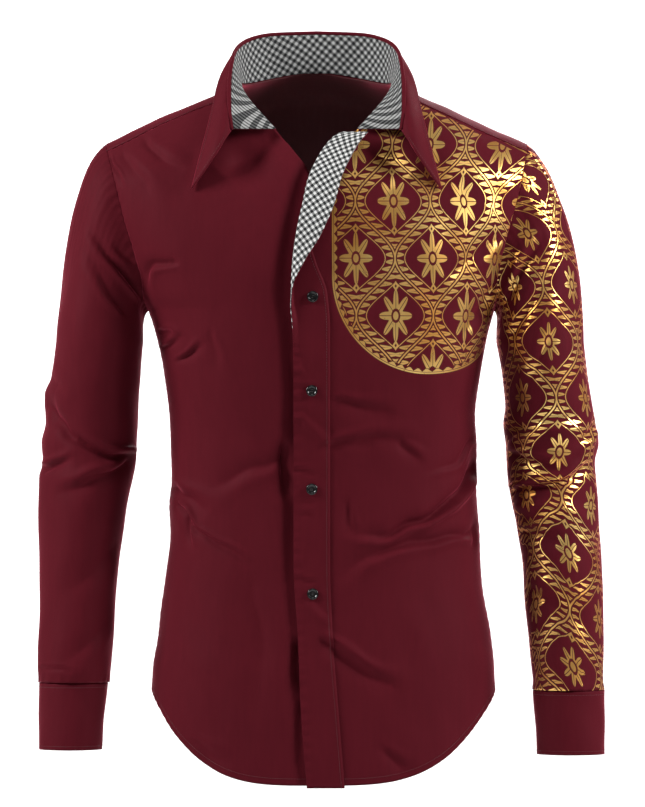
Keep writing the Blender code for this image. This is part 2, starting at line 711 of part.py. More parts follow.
# Placket and the checked facing behind its turned-out top
last_row = LOW_ROWS + EDGE_ROWS
first_turned = LOW_ROWS - 2
rows = np.concatenate([[PLACKET.keys[0]], flat_left[1:last_row, 0, 2], [PLACKET_TOP]])
turned_rows = np.arange(first_turned * TURN_ROWS, last_row * TURN_ROWS + 1) / TURN_ROWS
turned = np.interp(turned_rows, np.arange(last_row + 1), rows)
edge_heights = np.concatenate([rows[:first_turned], turned])
placket = placket_grid(edge_heights)
placket_normals = normals_of(placket, False, torso_inside(placket))
cloth("placket", placket, placket_normals, POPLIN)
shown = edge_heights > FACING_BOTTOM
facing = (placket - placket_normals * (WALL + SEAM_GAP))[shown][:, SEWN_COLUMNS - 1 :]
cloth("facing", facing, placket_normals[shown][:, SEWN_COLUMNS - 1 :], GINGHAM)

# Collar
stand, leaf = collar_grids()
cloth("collar_stand", stand, normals_of(stand, False, NECK_MIDDLE), GINGHAM)
cloth("collar_leaf", leaf, normals_of(leaf, False, NECK_MIDDLE), POPLIN)

# Sleeves, cuffs and the cuffs' buttons
for name, side, finish in (("right", -1, POPLIN), ("left", 1, PRINTED)):
    sleeve = sleeve_grid(name, side, armholes[name])
    sleeve = folded("sleeve_" + name, sleeve, True, ring_middles(sleeve))
    cloth("sleeve_" + name, sleeve, normals_of(sleeve, True, ring_middles(sleeve)), finish, around=True)
    cuff = cuff_grid(name, side)
    cuff_normals = normals_of(cuff, False, ring_middles(cuff))
    cloth("cuff_" + name, cuff, cuff_normals, POPLIN, wall=CUFF_WALL)
    seat = (cuff[1, -2] + cuff[2, -2]) / 2
    button("cuff_button_" + name, seat + cuff_normals[1, -2] * SEAM_GAP, cuff_normals[1, -2], BUTTON)

# Front buttons, on the placket
for number, height in enumerate(BUTTON_HEIGHTS, 1):
    normal = outward_at(BUTTON_X, height, -1)
    seat = body(BUTTON_X, height, -1) + normal * (PLACKET_LIFT + WALL + SEAM_GAP)
    button(f"button_{number}", seat, normal, BUTTON)
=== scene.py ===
import math

import bmesh
import bpy
import numpy as np
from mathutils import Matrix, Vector


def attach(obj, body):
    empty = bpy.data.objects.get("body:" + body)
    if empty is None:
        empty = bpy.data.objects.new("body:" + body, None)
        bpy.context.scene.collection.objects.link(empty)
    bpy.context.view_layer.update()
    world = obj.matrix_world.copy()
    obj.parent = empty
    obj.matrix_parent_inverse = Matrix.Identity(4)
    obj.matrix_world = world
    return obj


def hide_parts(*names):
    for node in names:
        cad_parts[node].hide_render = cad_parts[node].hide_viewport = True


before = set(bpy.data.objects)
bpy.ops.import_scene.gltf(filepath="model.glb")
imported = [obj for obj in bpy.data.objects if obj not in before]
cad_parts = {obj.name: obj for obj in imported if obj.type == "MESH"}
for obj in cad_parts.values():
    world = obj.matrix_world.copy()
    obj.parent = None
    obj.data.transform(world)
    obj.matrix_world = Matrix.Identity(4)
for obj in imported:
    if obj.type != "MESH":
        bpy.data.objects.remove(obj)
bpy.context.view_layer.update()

# Studio
# A plain pale floor lies well below the hanging shirt, as it does below a wearer, with a pale wall
# far behind. Large soft lamps stand beside it, and a long lens looks at it level, from in front.
PIXEL = 0.00104  # metres on the shirt to one pixel of the photo
PHOTO_SIZE = (645, 807)
PHOTO_ORIGIN = (316.5, 90.0)  # the pixel where the part's origin shows
CAMERA_AWAY = 8.0
SENSOR = 36.0
FLOOR_Z = -1.42
WALL_Y = 30
PALE = 0.86
AMBIENT = 0.22
SHIRT_MIDDLE, WALL_MIDDLE = (0, 0, -0.3), (0, WALL_Y, -1)


def add_object(name, data):
    made = bpy.data.objects.new(name, data)
    bpy.context.collection.objects.link(made)
    return made


camera_data = bpy.data.cameras.new("camera")
camera_data.sensor_fit = "HORIZONTAL"
camera_data.sensor_width = SENSOR
camera_data.lens = SENSOR * CAMERA_AWAY / (PHOTO_SIZE[0] * PIXEL)
camera_data.clip_end = 60
camera = add_object("camera", camera_data)
camera.location = (
    (PHOTO_SIZE[0] / 2 - PHOTO_ORIGIN[0]) * PIXEL,
    -CAMERA_AWAY,
    (PHOTO_ORIGIN[1] - PHOTO_SIZE[1] / 2) * PIXEL,
)
camera.rotation_euler = (math.pi / 2, 0, 0)
bpy.context.scene.camera = camera

pale_finish = bpy.data.materials.new("pale_floor")
pale_finish.use_nodes = True
pale_shader = pale_finish.node_tree.nodes["Principled BSDF"]
pale_shader.inputs["Base Color"].default_value = (PALE, PALE, PALE, 1)
pale_shader.inputs["Roughness"].default_value = 0.8
for name, corners in (
    ("floor", [(-9, -12, FLOOR_Z), (9, -12, FLOOR_Z), (9, 9, FLOOR_Z), (-9, 9, FLOOR_Z)]),
    ("pale_wall", [(-14, WALL_Y, -6), (14, WALL_Y, -6), (14, WALL_Y, 9), (-14, WALL_Y, 9)]),
):
    plane_mesh = bpy.data.meshes.new(name)
    plane_mesh.from_pydata(corners, [], [(0, 1, 2, 3)])
    plane_mesh.materials.append(pale_finish)
    plane = add_object(name, plane_mesh)

world = bpy.data.worlds.new("studio")
world.use_nodes = True
sky = world.node_tree.nodes["Background"]
sky.inputs["Color"].default_value = (1, 1, 1, 1)
sky.inputs["Strength"].default_value = AMBIENT
bpy.context.scene.world = world
bpy.context.scene.view_settings.view_transform = "Standard"

for name, place, aim, size, power in (
    ("left_side", (-2.2, -0.75, 1.0), SHIRT_MIDDLE, 0.9, 96.0),
    ("right_side", (2.25, -0.70, 0.9), SHIRT_MIDDLE, 0.9, 96.0),
    ("top", (-0.3, -1.3, 2.2), SHIRT_MIDDLE, 1.0, 7.0),
    ("behind", (0.8, 2.6, 1.2), SHIRT_MIDDLE, 1.6, 44.0),
    ("wall_left", (-7, 25, 3), WALL_MIDDLE, 3.0, 1500.0),
    ("wall_right", (7, 25, 3), WALL_MIDDLE, 3.0, 1500.0),
):
    lamp_data = bpy.data.lights.new(name, "AREA")
    lamp_data.size = size
    lamp_data.energy = power
    lamp = add_object(name, lamp_data)
    lamp.location = place
    lamp.rotation_euler = (Vector(aim) - Vector(place)).to_track_quat("-Z", "Y").to_euler()

# Back
# One wide panel of burgundy poplin from side seam to side seam, hanging from the yoke. It is a
# single layer of light cloth, eased in at the waist, with a curved shirt-tail hem turned up.
CLOTH = 0.0007  # what one layer of poplin shows at its edges
WALL = 0.0011  # the solids' wall
SEAM_GAP = 0.0003
SQUARE = 2.3  # how square the torso's section is, 2 being an ellipse
RIDGE_TOP, RIDGE_SLOPE, RIDGE_ROUND = 0.050, 0.47, 0.050  # the shoulder line
FRONT_ROUND, BACK_ROUND = 0.060, 0.040  # over the shoulder, in front and behind
ARMPIT = -0.230
FRONT_SEAM = 0.033  # from the shoulder line down to the yoke's front seam
BACK_SEAM = -0.085
HEM_FRONT, HEM_BACK = -0.7180, -0.7200
HEM_RISE, HEM_CURVE = 0.095, 3.2
NECK_HALF = 0.0785
NECK_END = 31.5


def smooth_between(keys, values, at):
    """Monotone cubic curve through the rows, held level past both ends."""
    steps = np.diff(keys)
    rise = np.diff(values) / steps
    slope = np.concatenate([rise[:1], np.zeros(len(rise) - 1), rise[-1:]])
    same = rise[:-1] * rise[1:] > 0
    both = np.where(same, rise[:-1] + rise[1:], 1.0)
    slope[1:-1] = np.where(same, 2 * rise[:-1] * rise[1:] / both, 0.0)
    at = np.clip(at, keys[0], keys[-1])
    row = np.clip(np.searchsorted(keys, at) - 1, 0, len(steps) - 1)
    t = (at - keys[row]) / steps[row]
    start = values[row] * (1 + 2 * t) * (1 - t) ** 2 + slope[row] * steps[row] * t * (1 - t) ** 2
    end = values[row + 1] * t**2 * (3 - 2 * t) + slope[row + 1] * steps[row] * t**2 * (t - 1)
    return start + end


class Table:
    """Rows with named columns, read smoothly by their first column."""

    def __init__(self, names, *rows):
        self.columns = dict(zip(names.split(), np.array(rows, float).T))
        self.keys = next(iter(self.columns.values()))

    def at(self, name, key):
        return smooth_between(self.keys, self.columns[name], np.asarray(key, float))


TORSO = Table(
    "height right left front back",
    (-0.730, 0.1730, 0.1860, 0.1160, 0.1210),
    (-0.640, 0.1722, 0.1870, 0.1130, 0.1180),
    (-0.602, 0.1695, 0.1856, 0.1110, 0.1150),
    (-0.567, 0.1638, 0.1804, 0.1080, 0.1110),
    (-0.514, 0.1576, 0.1715, 0.1040, 0.1040),
    (-0.461, 0.1524, 0.1690, 0.1010, 0.0990),
    (-0.435, 0.1530, 0.1665, 0.1000, 0.0970),
    (-0.405, 0.1503, 0.1650, 0.1000, 0.0960),
    (-0.368, 0.1513, 0.1662, 0.1020, 0.0990),
    (-0.340, 0.1535, 0.1648, 0.1050, 0.1030),
    (-0.302, 0.1586, 0.1702, 0.1090, 0.1090),
    (-0.272, 0.1628, 0.1745, 0.1120, 0.1130),
    (-0.230, 0.1742, 0.1846, 0.1140, 0.1180),
    (-0.215, 0.1860, 0.1920, 0.1135, 0.1200),
    (-0.190, 0.1990, 0.2045, 0.1120, 0.1220),
    (-0.150, 0.2155, 0.2195, 0.1060, 0.1220),
    (-0.100, 0.2310, 0.2340, 0.0920, 0.1200),
    (-0.058, 0.2420, 0.2435, 0.0720, 0.1160),
    (-0.042, 0.2440, 0.2450, 0.0630, 0.1140),
    (0.000, 0.2500, 0.2500, 0.0520, 0.1090),
    (0.030, 0.2550, 0.2550, 0.0480, 0.1050),
)
ARMHOLE = Table(
    "height angle",
    (-0.230, 90.0),
    (-0.215, 74.0),
    (-0.190, 66.0),
    (-0.150, 62.5),
    (-0.100, 62.5),
)


def mix(start, end, share):
    return start + (end - start) * share


def ridge(x):
    """Height of the shoulder line."""
    return RIDGE_TOP - RIDGE_SLOPE * np.hypot(x, RIDGE_ROUND)


def half_width(side, height):
    return np.where(side < 0, TORSO.at("right", height), TORSO.at("left", height))


def across(angle, height):
    """How far out the torso's section is at this angle, 90 degrees being its side."""
    share = np.abs(np.sin(np.radians(angle))) ** (2 / SQUARE)
    return np.sign(angle) * half_width(angle, height) * share


def angle_of(x, height):
    share = np.clip(np.abs(x) / half_width(x, height), 0, 1)
    return np.sign(x) * np.degrees(np.arcsin(share ** (SQUARE / 2)))


def body(x, height, face):
    """The point of the cloth's outer face here, on the front (face -1) or the back (face 1)."""
    rounding = np.where(face < 0, FRONT_ROUND, BACK_ROUND)
    below = np.clip((ridge(x) - height) / rounding, 0, 1)
    share = np.clip(np.abs(x) / half_width(x, height), 0, 1)
    flat = (1 - share**SQUARE) ** (1 / SQUARE)
    depth = np.where(face < 0, TORSO.at("front", height), TORSO.at("back", height))
    y = face * (depth * flat * np.sqrt(1 - (1 - below) ** 2) + SEAM_GAP / 2)
    return np.stack(np.broadcast_arrays(x, y, height), -1)


def at_angle(angle, height, face):
    return body(across(angle, height), height, face)


def lengths(grid, axis):
    """Distance along a grid's rows (0) or columns (1), or along one line (0)."""
    steps = np.linalg.norm(np.diff(grid, axis=axis), axis=-1)
    start = np.zeros_like(np.take(steps, [0], axis=axis))
    return np.concatenate([start, np.cumsum(steps, axis=axis)], axis=axis)


def unit(vectors):
    return vectors / np.linalg.norm(vectors, axis=-1, keepdims=True)


def armhole_heights(face, lowest, highest, count):
    """Heights that part the armhole's edge evenly along its length."""
    heights = np.linspace(lowest, highest, 400)
    length = lengths(at_angle(ARMHOLE.at("angle", heights), heights, face), 0)
    return np.interp(np.linspace(0, length[-1], count), length, heights)


def hem(angle, face):
    lowest = HEM_FRONT if face < 0 else HEM_BACK
    return lowest + HEM_RISE * np.abs(np.sin(np.radians(angle))) ** HEM_CURVE


def torso_inside(grid):
    """For each point, the middle of the body at its height."""
    return grid * np.array([0.0, 0.0, 1.0])


def normals_of(grid, around=False, inside=None):
    """Normals that point away from the inside, which is the torso's if none is given."""
    if around:
        padded = np.concatenate([grid[:, -1:], grid, grid[:, :1]], 1)
        along = np.gradient(padded, axis=1)[:, 1:-1]
    else:
        along = np.gradient(grid, axis=1)
    normals = np.cross(along, np.gradient(grid, axis=0))
    normals /= np.maximum(np.linalg.norm(normals, axis=-1, keepdims=True), 1e-12)
    inside = torso_inside(grid) if inside is None else inside
    return normals * np.sign(np.sum(normals * (grid - inside)))


def swells(points, size, seed):
    """A smooth unevenness of about -1 to 1, in swells of about this size."""
    draw = np.random.default_rng(seed)
    total = np.zeros(points.shape[:-1])
    for _ in range(8):
        way = draw.normal(size=3)
        way *= draw.uniform(0.7, 1.4) * 2 * math.pi / size / np.linalg.norm(way)
        total += np.sin(points @ way + draw.uniform(0, 2 * math.pi))
    return total / 3.2


def crease_line(points, count=25):
    """A smooth line through a crease's points."""
    points = np.array(points) / 1000
    along = lengths(points, 0)
    at = np.linspace(0, along[-1], count)
    return np.stack([smooth_between(along, points[:, part], at) for part in range(2)], -1)


def creases(grid, normals, folds):
    """How far out each crease moves the cloth: a sharp trough or a ridge, and the lip beside it."""
    out = np.zeros(grid.shape[:-1])
    wander = 0.0016 * swells(grid, 0.04, 5)
    for face, width, height, lip, *points in folds:
        line = crease_line(points)
        reach = abs(width) * 0.004 + 0.004
        spots = grid[..., [0, 2]]
        close = np.all((spots > line.min(axis=0) - reach) & (spots < line.max(axis=0) + reach), -1)
        close &= face * normals[..., 1] > 0
        if not close.any():
            continue
        way = np.diff(line, axis=0)
        length = np.linalg.norm(way, axis=1)
        way /= length[:, None]
        offset = spots[close][:, None] - line[:-1]
        along = np.sum(offset * way, -1)
        held = np.clip(along, 0, length)
        aside = way[:, 0] * offset[..., 1] - way[:, 1] * offset[..., 0]
        nearest = np.argmin(np.hypot(aside, along - held), axis=1)[:, None]
        past, aside, held = (
            np.take_along_axis(part, nearest, 1)[:, 0] for part in (np.abs(along - held), aside, held)
        )
        share = (nearest[:, 0] + held / length[nearest[:, 0]]) / len(length)
        wide = width / 1000 * (0.7 + 0.6 * share)
        away = (aside + wander[close]) / wide
        steep = np.abs(np.where(away > 0, 1.8 * away, away))
        trough = np.exp(-(steep**1.4)) - lip * np.exp(-(((away - 1.15) / 0.7) ** 2))
        fading = np.sin(math.pi * (0.28 + 0.70 * share)) * np.exp(-((past / wide / 1.3) ** 2))
        facing = np.clip(face * normals[..., 1][close] * 2.5, 0, 1)
        out[close] += height / 1000 * trough * fading * facing
    return out


SWELLS = (0.11, 0.038)  # the larger and the smaller swells of the cloth
HANGING = np.array([1.0, 1.0, 0.55])  # they run longer upwards


def lived_in(grid, folds, around=False, inside=None, soft=0.0011, seed=1, fade=1.0):
    """The grid with its creases and the slight unevenness of worn cloth, and its new normals."""
    normals = normals_of(grid, around, inside)
    large, small = (swells(grid * HANGING, size, seed + n) for n, size in enumerate(SWELLS))
    out = creases(grid, normals, folds) + soft * large + 0.32 * soft * small
    moved = grid + normals * (out * fade)[..., None]
    return moved, normals_of(moved, around, inside)


def cut_layout(grid, middle_column, middle_row):
    """Where each point lies on the flat cut, in metres from one of its points."""
    u, v = lengths(grid, 1), lengths(grid, 0)
    u = u - u[:, middle_column : middle_column + 1]
    v = v - v[middle_row : middle_row + 1]
    return np.stack([u, v], -1)


def sew(name, grid, normals, finishes, node, layout, around=False, thick=CLOTH):
    """A thin layer of cloth over the grid, with its flat layout as its UV map."""
    rows, columns = grid.shape[:2]
    raw = np.cross(np.gradient(grid, axis=1), np.gradient(grid, axis=0))
    forward = np.sum(raw[: len(normals)] * normals) > 0
    faces, corners = [], []
    for row in range(rows - 1):
        for column in range(columns if around else columns - 1):
            quad = [(row, column), (row, column + 1), (row + 1, column + 1), (row + 1, column)]
            quad = quad if forward else quad[::-1]
            faces.append([r * columns + c % columns for r, c in quad])
            corners.extend(quad)
    mesh = bpy.data.meshes.new(name)
    mesh.from_pydata(grid.reshape(-1, 3).tolist(), [], faces)
    flat = layout[tuple(np.array(corners).T)]
    mesh.uv_layers.new(name="cut").data.foreach_set("uv", flat.astype(np.float32).ravel())
    for finish in finishes:
        mesh.materials.append(finish)
    mesh.shade_smooth()
    piece = add_object(name, mesh)
    wall = piece.modifiers.new("cloth", "SOLIDIFY")
    wall.thickness = thick
    wall.offset = -1
    wall.material_offset = len(finishes) - 1
    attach(piece, "root")
    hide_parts(node)
    return piece


class Field:
    """A number at each point of a material, joined up from Math nodes."""

    tree = None

    def __init__(self, socket):
        self.socket = socket

    @classmethod
    def math(cls, kind, *inputs, clamp=False):
        node = cls.tree.nodes.new("ShaderNodeMath")
        node.operation = kind
        node.use_clamp = clamp
        for socket, value in zip(node.inputs, inputs):
            if isinstance(value, Field):
                cls.tree.links.new(value.socket, socket)
            else:
                socket.default_value = value
        return cls(node.outputs[0])

    def __add__(self, other):
        return Field.math("ADD", self, other)

    def __sub__(self, other):
        return Field.math("SUBTRACT", self, other)

    def __rsub__(self, other):
        return Field.math("SUBTRACT", other, self)

    def __mul__(self, other):
        return Field.math("MULTIPLY", self, other)

    def __truediv__(self, other):
        return Field.math("DIVIDE", self, other)

    def size(self):
        return Field.math("ABSOLUTE", self)

    def sine(self):
        return Field.math("SINE", self)

    def upper(self, other):
        return Field.math("MAXIMUM", self, other)

    def lower(self, other):
        return Field.math("MINIMUM", self, other)

    def part(self):
        """What is left past the last whole number."""
        return Field.math("FRACT", self)

    def above_zero(self, edge):
        """1 where this is above zero, with a soft edge this wide."""
        return Field.math("MULTIPLY_ADD", self, 1 / edge, 0.5, clamp=True)


def new_finish(name):
    """A material whose nodes Field then adds to, with its shader."""
    finish = bpy.data.materials.new(name)
    finish.use_nodes = True
    Field.tree = finish.node_tree
    return finish, finish.node_tree.nodes["Principled BSDF"]


def millimetres(socket, second):
    """A place's x and one more of its coordinates, in millimetres."""
    parts = Field.tree.nodes.new("ShaderNodeSeparateXYZ")
    Field.tree.links.new(socket, parts.inputs[0])
    return Field(parts.outputs[0]) * 1000.0, Field(parts.outputs[second]) * 1000.0


def layout_fields():
    """The flat layout's two coordinates."""
    cut = Field.tree.nodes.new("ShaderNodeUVMap")
    cut.uv_map = "cut"
    return millimetres(cut.outputs["UV"], 1)


def noise_field(scale, detail=2.0, stretch=(1, 1, 1)):
    """Noise over Object coordinates, about 0.5."""
    nodes, links = Field.tree.nodes, Field.tree.links
    place = nodes.new("ShaderNodeTexCoord")
    turn = nodes.new("ShaderNodeMapping")
    turn.inputs["Scale"].default_value = stretch
    cloud = nodes.new("ShaderNodeTexNoise")
    cloud.inputs["Scale"].default_value = scale
    cloud.inputs["Detail"].default_value = detail
    links.new(place.outputs["Object"], turn.inputs["Vector"])
    links.new(turn.outputs["Vector"], cloud.inputs["Vector"])
    return Field(cloud.outputs[0])


def colour_mix(share, first, second):
    """A colour between two, each a colour or another mix's socket."""
    node = Field.tree.nodes.new("ShaderNodeMix")
    node.data_type = "RGBA"
    Field.tree.links.new(share.socket, node.inputs["Factor"])
    for socket, value in ((node.inputs[6], first), (node.inputs[7], second)):
        if isinstance(value, tuple):
            socket.default_value = (*value, 1)
        else:
            Field.tree.links.new(value, socket)
    return node.outputs[2]


def add_bump(shader, height, distance, strength):
    bump = Field.tree.nodes.new("ShaderNodeBump")
    bump.inputs["Distance"].default_value = distance
    bump.inputs["Strength"].default_value = strength
    Field.tree.links.new(height.socket, bump.inputs["Height"])
    Field.tree.links.new(bump.outputs["Normal"], shader.inputs["Normal"])


THREAD = 0.30  # millimetres from one poplin thread to the next
BURGUNDY = (0.082, 0.0074, 0.0125)
BURGUNDY_DEEP = (0.056, 0.0050, 0.0088)
CLOTH_ROUGH = 0.56


def weave(u, v):
    """The height of a fine plain weave, from 0 to 1."""
    turn = 2 * math.pi / THREAD
    return (u * turn).sine() * (v * turn).sine() * 0.5 + 0.5


def poplin_colour(deep=BURGUNDY_DEEP, light=BURGUNDY):
    """Fine upright slubs over a faint cloudiness."""
    slub = noise_field(260.0, 3.0, (1, 1, 0.12))
    cloud = noise_field(7.0, 2.0)
    return colour_mix(slub * 0.55 + cloud * 0.45, deep, light)


def give(shader, **values):
    """Set a shader's inputs, named with _ for each space, or link them to a field or a colour."""
    for name, value in values.items():
        socket = shader.inputs[name.replace("_", " ")]
        if isinstance(value, Field):
            Field.tree.links.new(value.socket, socket)
        elif isinstance(value, bpy.types.NodeSocket):
            Field.tree.links.new(value, socket)
        else:
            socket.default_value = value


def cloth_gloss(shader):
    give(
        shader, Roughness=CLOTH_ROUGH, Specular_IOR_Level=0.03, Specular_Tint=(1.0, 0.45, 0.55, 1),
        Sheen_Weight=0.55, Sheen_Roughness=0.28, Sheen_Tint=(1.0, 0.13, 0.22, 1),
    )


def make_poplin(name, deep, light):
    finish, shader = new_finish(name)
    u, v = layout_fields()
    give(shader, Base_Color=poplin_colour(deep, light))
    cloth_gloss(shader)
    slub = noise_field(900.0, 2.0, (1, 1, 0.25))
    add_bump(shader, weave(u, v) * 0.7 + slub * 0.5, 0.00008, 0.35)
    return finish


POPLIN = make_poplin("burgundy_poplin", BURGUNDY_DEEP, BURGUNDY)
# The inner faces' poplin is paler and greyer than the outer: partly the cloth's reverse, and partly
# painted light standing in for the light that comes through the thin cloth and the neck opening.
WRONG_SIDE_AND_PAINTED_LIGHT = make_poplin("burgundy_poplin_wrong_side_painted_light", (0.13, 0.046, 0.050), (0.19, 0.067, 0.073))
BACK_COLUMNS, BACK_LOW_ROWS, BACK_HIGH_ROWS = 140, 150, 60


def back_grid():
    rows = []
    sides = np.linspace(-1, 1, BACK_COLUMNS + 1)
    for share in np.linspace(0, 1, BACK_LOW_ROWS + 1):
        heights = mix(hem(90 * sides, 1), ARMPIT, share)
        rows.append(at_angle(90 * sides, heights, 1))
    for height in armhole_heights(1, ARMPIT, BACK_SEAM - 3 * SEAM_GAP, BACK_HIGH_ROWS + 1)[1:]:
        rows.append(at_angle(sides * ARMHOLE.at("angle", height), height, 1))
    return np.array(rows)


# Creases of the body, in front (face -1) and behind (face 1). Points are (x, z) in millimetres
# from the crease's strong end to its weak one, and a width below zero turns its steep side over.
TORSO_FOLDS = (  # face, width, how far out, lip beside it, points
    (-1, 4.5, -6.3, 0.7, (-141, -432), (-133, -443), (-124, -456)),
    (-1, 4.0, -4.2, 0.5, (-134, -447), (-131, -460), (-128, -476)),
    (-1, 4.0, -3.9, 0.6, (-124, -453), (-98, -471), (-65, -492)),
    (-1, 9.0, -4.8, 0.4, (-154, -408), (-132, -423), (-108, -437)),
    (-1, 10.0, -3.6, 0.4, (-38, -383), (-69, -395), (-116, -418)),
    (-1, 8.0, -11.2, 0.0, (-32, -372), (-31, -393), (-28, -426)),
    (-1, 6.0, -9.1, 0.0, (-19, -574), (-18, -601), (-16, -632)),
    (-1, 5.0, -3.5, 0.0, (-16, -634), (-16, -666), (-15, -707)),
    (-1, 3.5, -3.4, 0.7, (-161, -269), (-150, -264), (-138, -252)),
    (-1, 4.0, -4.2, 0.7, (-141, -280), (-129, -275), (-116, -262)),
    (-1, 4.0, -2.8, 0.5, (-165, -251), (-154, -253), (-142, -258)),
    (-1, 5.0, -2.0, 0.4, (-107, -256), (-103, -272), (-101, -291)),
    (-1, 6.0, -5.0, 0.4, (-148, -183), (-166, -183), (-176, -192), (-178, -210)),
    (-1, 8.0, -3.1, 0.5, (-175, -58), (-158, -71), (-136, -88)),
    (-1, 9.0, -2.5, 0.4, (-196, -71), (-184, -92), (-171, -114)),
    (-1, 3.0, -2.2, 0.6, (-212, -73), (-206, -87), (-200, -102)),
    (-1, 9.0, -3.1, 0.4, (-123, -678), (-107, -688), (-88, -700)),
    (-1, 22.0, -4.2, 0.2, (-64, -520), (-57, -582), (-63, -655)),
    (-1, -22.0, -14.0, 0.0, (-50, -55), (-72, -68), (-94, -92)),
    (-1, 5.5, -9.1, 0.7, (168, -380), (158, -404), (141, -426), (118, -441),
     (92, -453), (66, -462), (37, -459)),
    (-1, 6.0, -2.6, 0.5, (33, -430), (32, -447), (38, -461)),
    (-1, 4.0, -2.8, 0.5, (161, -367), (144, -387), (112, -396)),
    (-1, 8.0, -5.6, 0.5, (155, -459), (123, -466), (87, -471), (51, -485), (20, -508)),
    (-1, 9.0, -3.9, 0.5, (14, -371), (37, -365), (64, -361), (108, -369)),
    (-1, 8.0, -3.4, 0.4, (24, -326), (54, -331), (83, -339)),
    (-1, 6.0, -3.1, 0.4, (89, -370), (99, -381), (108, -391)),
    (-1, 8.0, -5.0, 0.7, (10, -572), (30, -588), (58, -607), (89, -618)),
    (-1, 9.0, -2.8, 0.4, (72, -684), (85, -697), (99, -706)),
    (-1, 6.0, -3.6, 0.5, (170, -447), (164, -462), (158, -476)),
    (-1, 7.0, -4.2, 0.5, (178, -212), (168, -237), (151, -254)),
    (-1, 10.0, -3.4, 0.4, (183, -160), (158, -179), (133, -198)),
    (-1, 20.0, -11.0, 0.0, (52, -55), (76, -70), (94, -92)),
    (-1, 3.0, -1.7, 0.6, (-17, -308), (-9, -310), (2, -311)),
    (-1, 3.0, -1.4, 0.6, (-17, -321), (-10, -321), (-2, -323)),
    (-1, 3.0, -1.7, 0.6, (-17, -395), (-10, -397), (1, -400)),
    (-1, 3.0, -1.5, 0.6, (-17, -426), (-9, -426), (2, -424)),
    (-1, 3.0, -1.4, 0.6, (-17, -441), (-10, -443), (-3, -444)),
    (-1, 3.0, -1.5, 0.6, (-16, -506), (-8, -509), (3, -510)),
    (-1, 5.0, 2.5, 0.3, (-14, -339), (-3, -350), (13, -366)),
    (-1, 5.0, 2.5, 0.3, (-6, -532), (4, -543), (16, -553)),
    (-1, 4.0, 2.0, 0.3, (-19, -277), (-16, -289), (-12, -302)),
    (1, 8.0, -8.7, 0.5, (-150, -385), (-77, -401), (-12, -440)),
    (1, 8.0, -8.7, 0.5, (160, -398), (85, -412), (20, -452)),
    (1, 7.0, -5.9, 0.5, (-146, -440), (-95, -456), (-52, -486)),
    (1, 8.0, -6.6, 0.5, (152, -450), (117, -483), (74, -507)),
    (1, 9.0, -4.8, 0.6, (-70, -408), (-5, -419), (60, -418)),
    (1, 11.0, -5.9, 0.4, (-168, -250), (-123, -283), (-92, -330)),
    (1, 11.0, -5.5, 0.4, (172, -255), (129, -294), (102, -345)),
    (1, 10.0, -5.0, 0.4, (-188, -150), (-149, -188), (-122, -235)),
    (1, 10.0, -4.8, 0.4, (192, -150), (153, -182), (126, -225)),
    (1, 16.0, -4.8, 0.3, (-120, -560), (-101, -624), (-90, -690)),
    (1, 16.0, -4.8, 0.3, (130, -545), (109, -611), (95, -680)),
    (1, 20.0, -4.1, 0.2, (10, -520), (24, -579), (30, -640)),
)


def puckers(grid, edges, depth=0.00022, pitch=0.010, reach=0.005):
    """Small waves along the named edges, where the thread draws the cloth up."""
    u, v = lengths(grid, 1), lengths(grid, 0)
    away = {"start": u, "end": u[:, -1:] - u, "bottom": v, "top": v[-1:] - v}
    out = np.zeros(grid.shape[:-1])
    for edge in edges.split():
        along = v if edge in ("start", "end") else u
        wave = np.sin(2 * math.pi * along / pitch + 1.7 * np.sin(41 * along) + 1.1 * np.sin(97 * along))
        out += depth * wave * np.exp(-((away[edge] / reach) ** 2))
    return out[..., None]


def line_inside(grid, normals, edge, inset, lift=0.00012):
    """The line on the cloth's face that runs this far inside one of its edges."""
    stack = np.concatenate([grid, normals], -1)
    stack = stack.transpose(1, 0, 2) if edge in ("bottom", "top") else stack
    stack = stack[:, ::-1] if edge in ("top", "end") else stack
    line = []
    for strand in stack:
        length = lengths(strand[:, :3], 0)
        values = np.array([np.interp(inset, length, strand[:, part]) for part in range(6)])
        line.append(values[:3] + values[3:] * lift)
    return np.array(line)


RUN_ON = ((0.0011, 0.0006), (0.0014, 0.0030), (0.0015, 0.0060))  # inwards, and ahead
HEM_STITCH = 0.007
SEWN_LINES = []  # each line of stitches, for the thread at the end


def hang(name, node, grid, edges, finishes, slot, layout_of):
    """A panel that hangs from the yoke, with its top edge run on between the yoke's layers."""
    grid, normals = lived_in(grid, TORSO_FOLDS)
    grid = grid + normals * puckers(grid, edges)
    ahead = unit(grid[-1] - grid[-2])
    rows = [grid[-1] - normals[-1] * inward + ahead * onward for inward, onward in RUN_ON]
    sewn = np.concatenate([grid, rows])
    SEWN_LINES.append(line_inside(grid, normals, "bottom", HEM_STITCH))
    return grid, sew(name, sewn, normals, finishes, node, layout_of(sewn))


back, back_piece = hang(
    "back_panel", "back", back_grid(), "bottom top start end", [POPLIN, WRONG_SIDE_AND_PAINTED_LIGHT], "poplin",
    lambda grid: cut_layout(grid, BACK_COLUMNS // 2, BACK_LOW_ROWS),
)

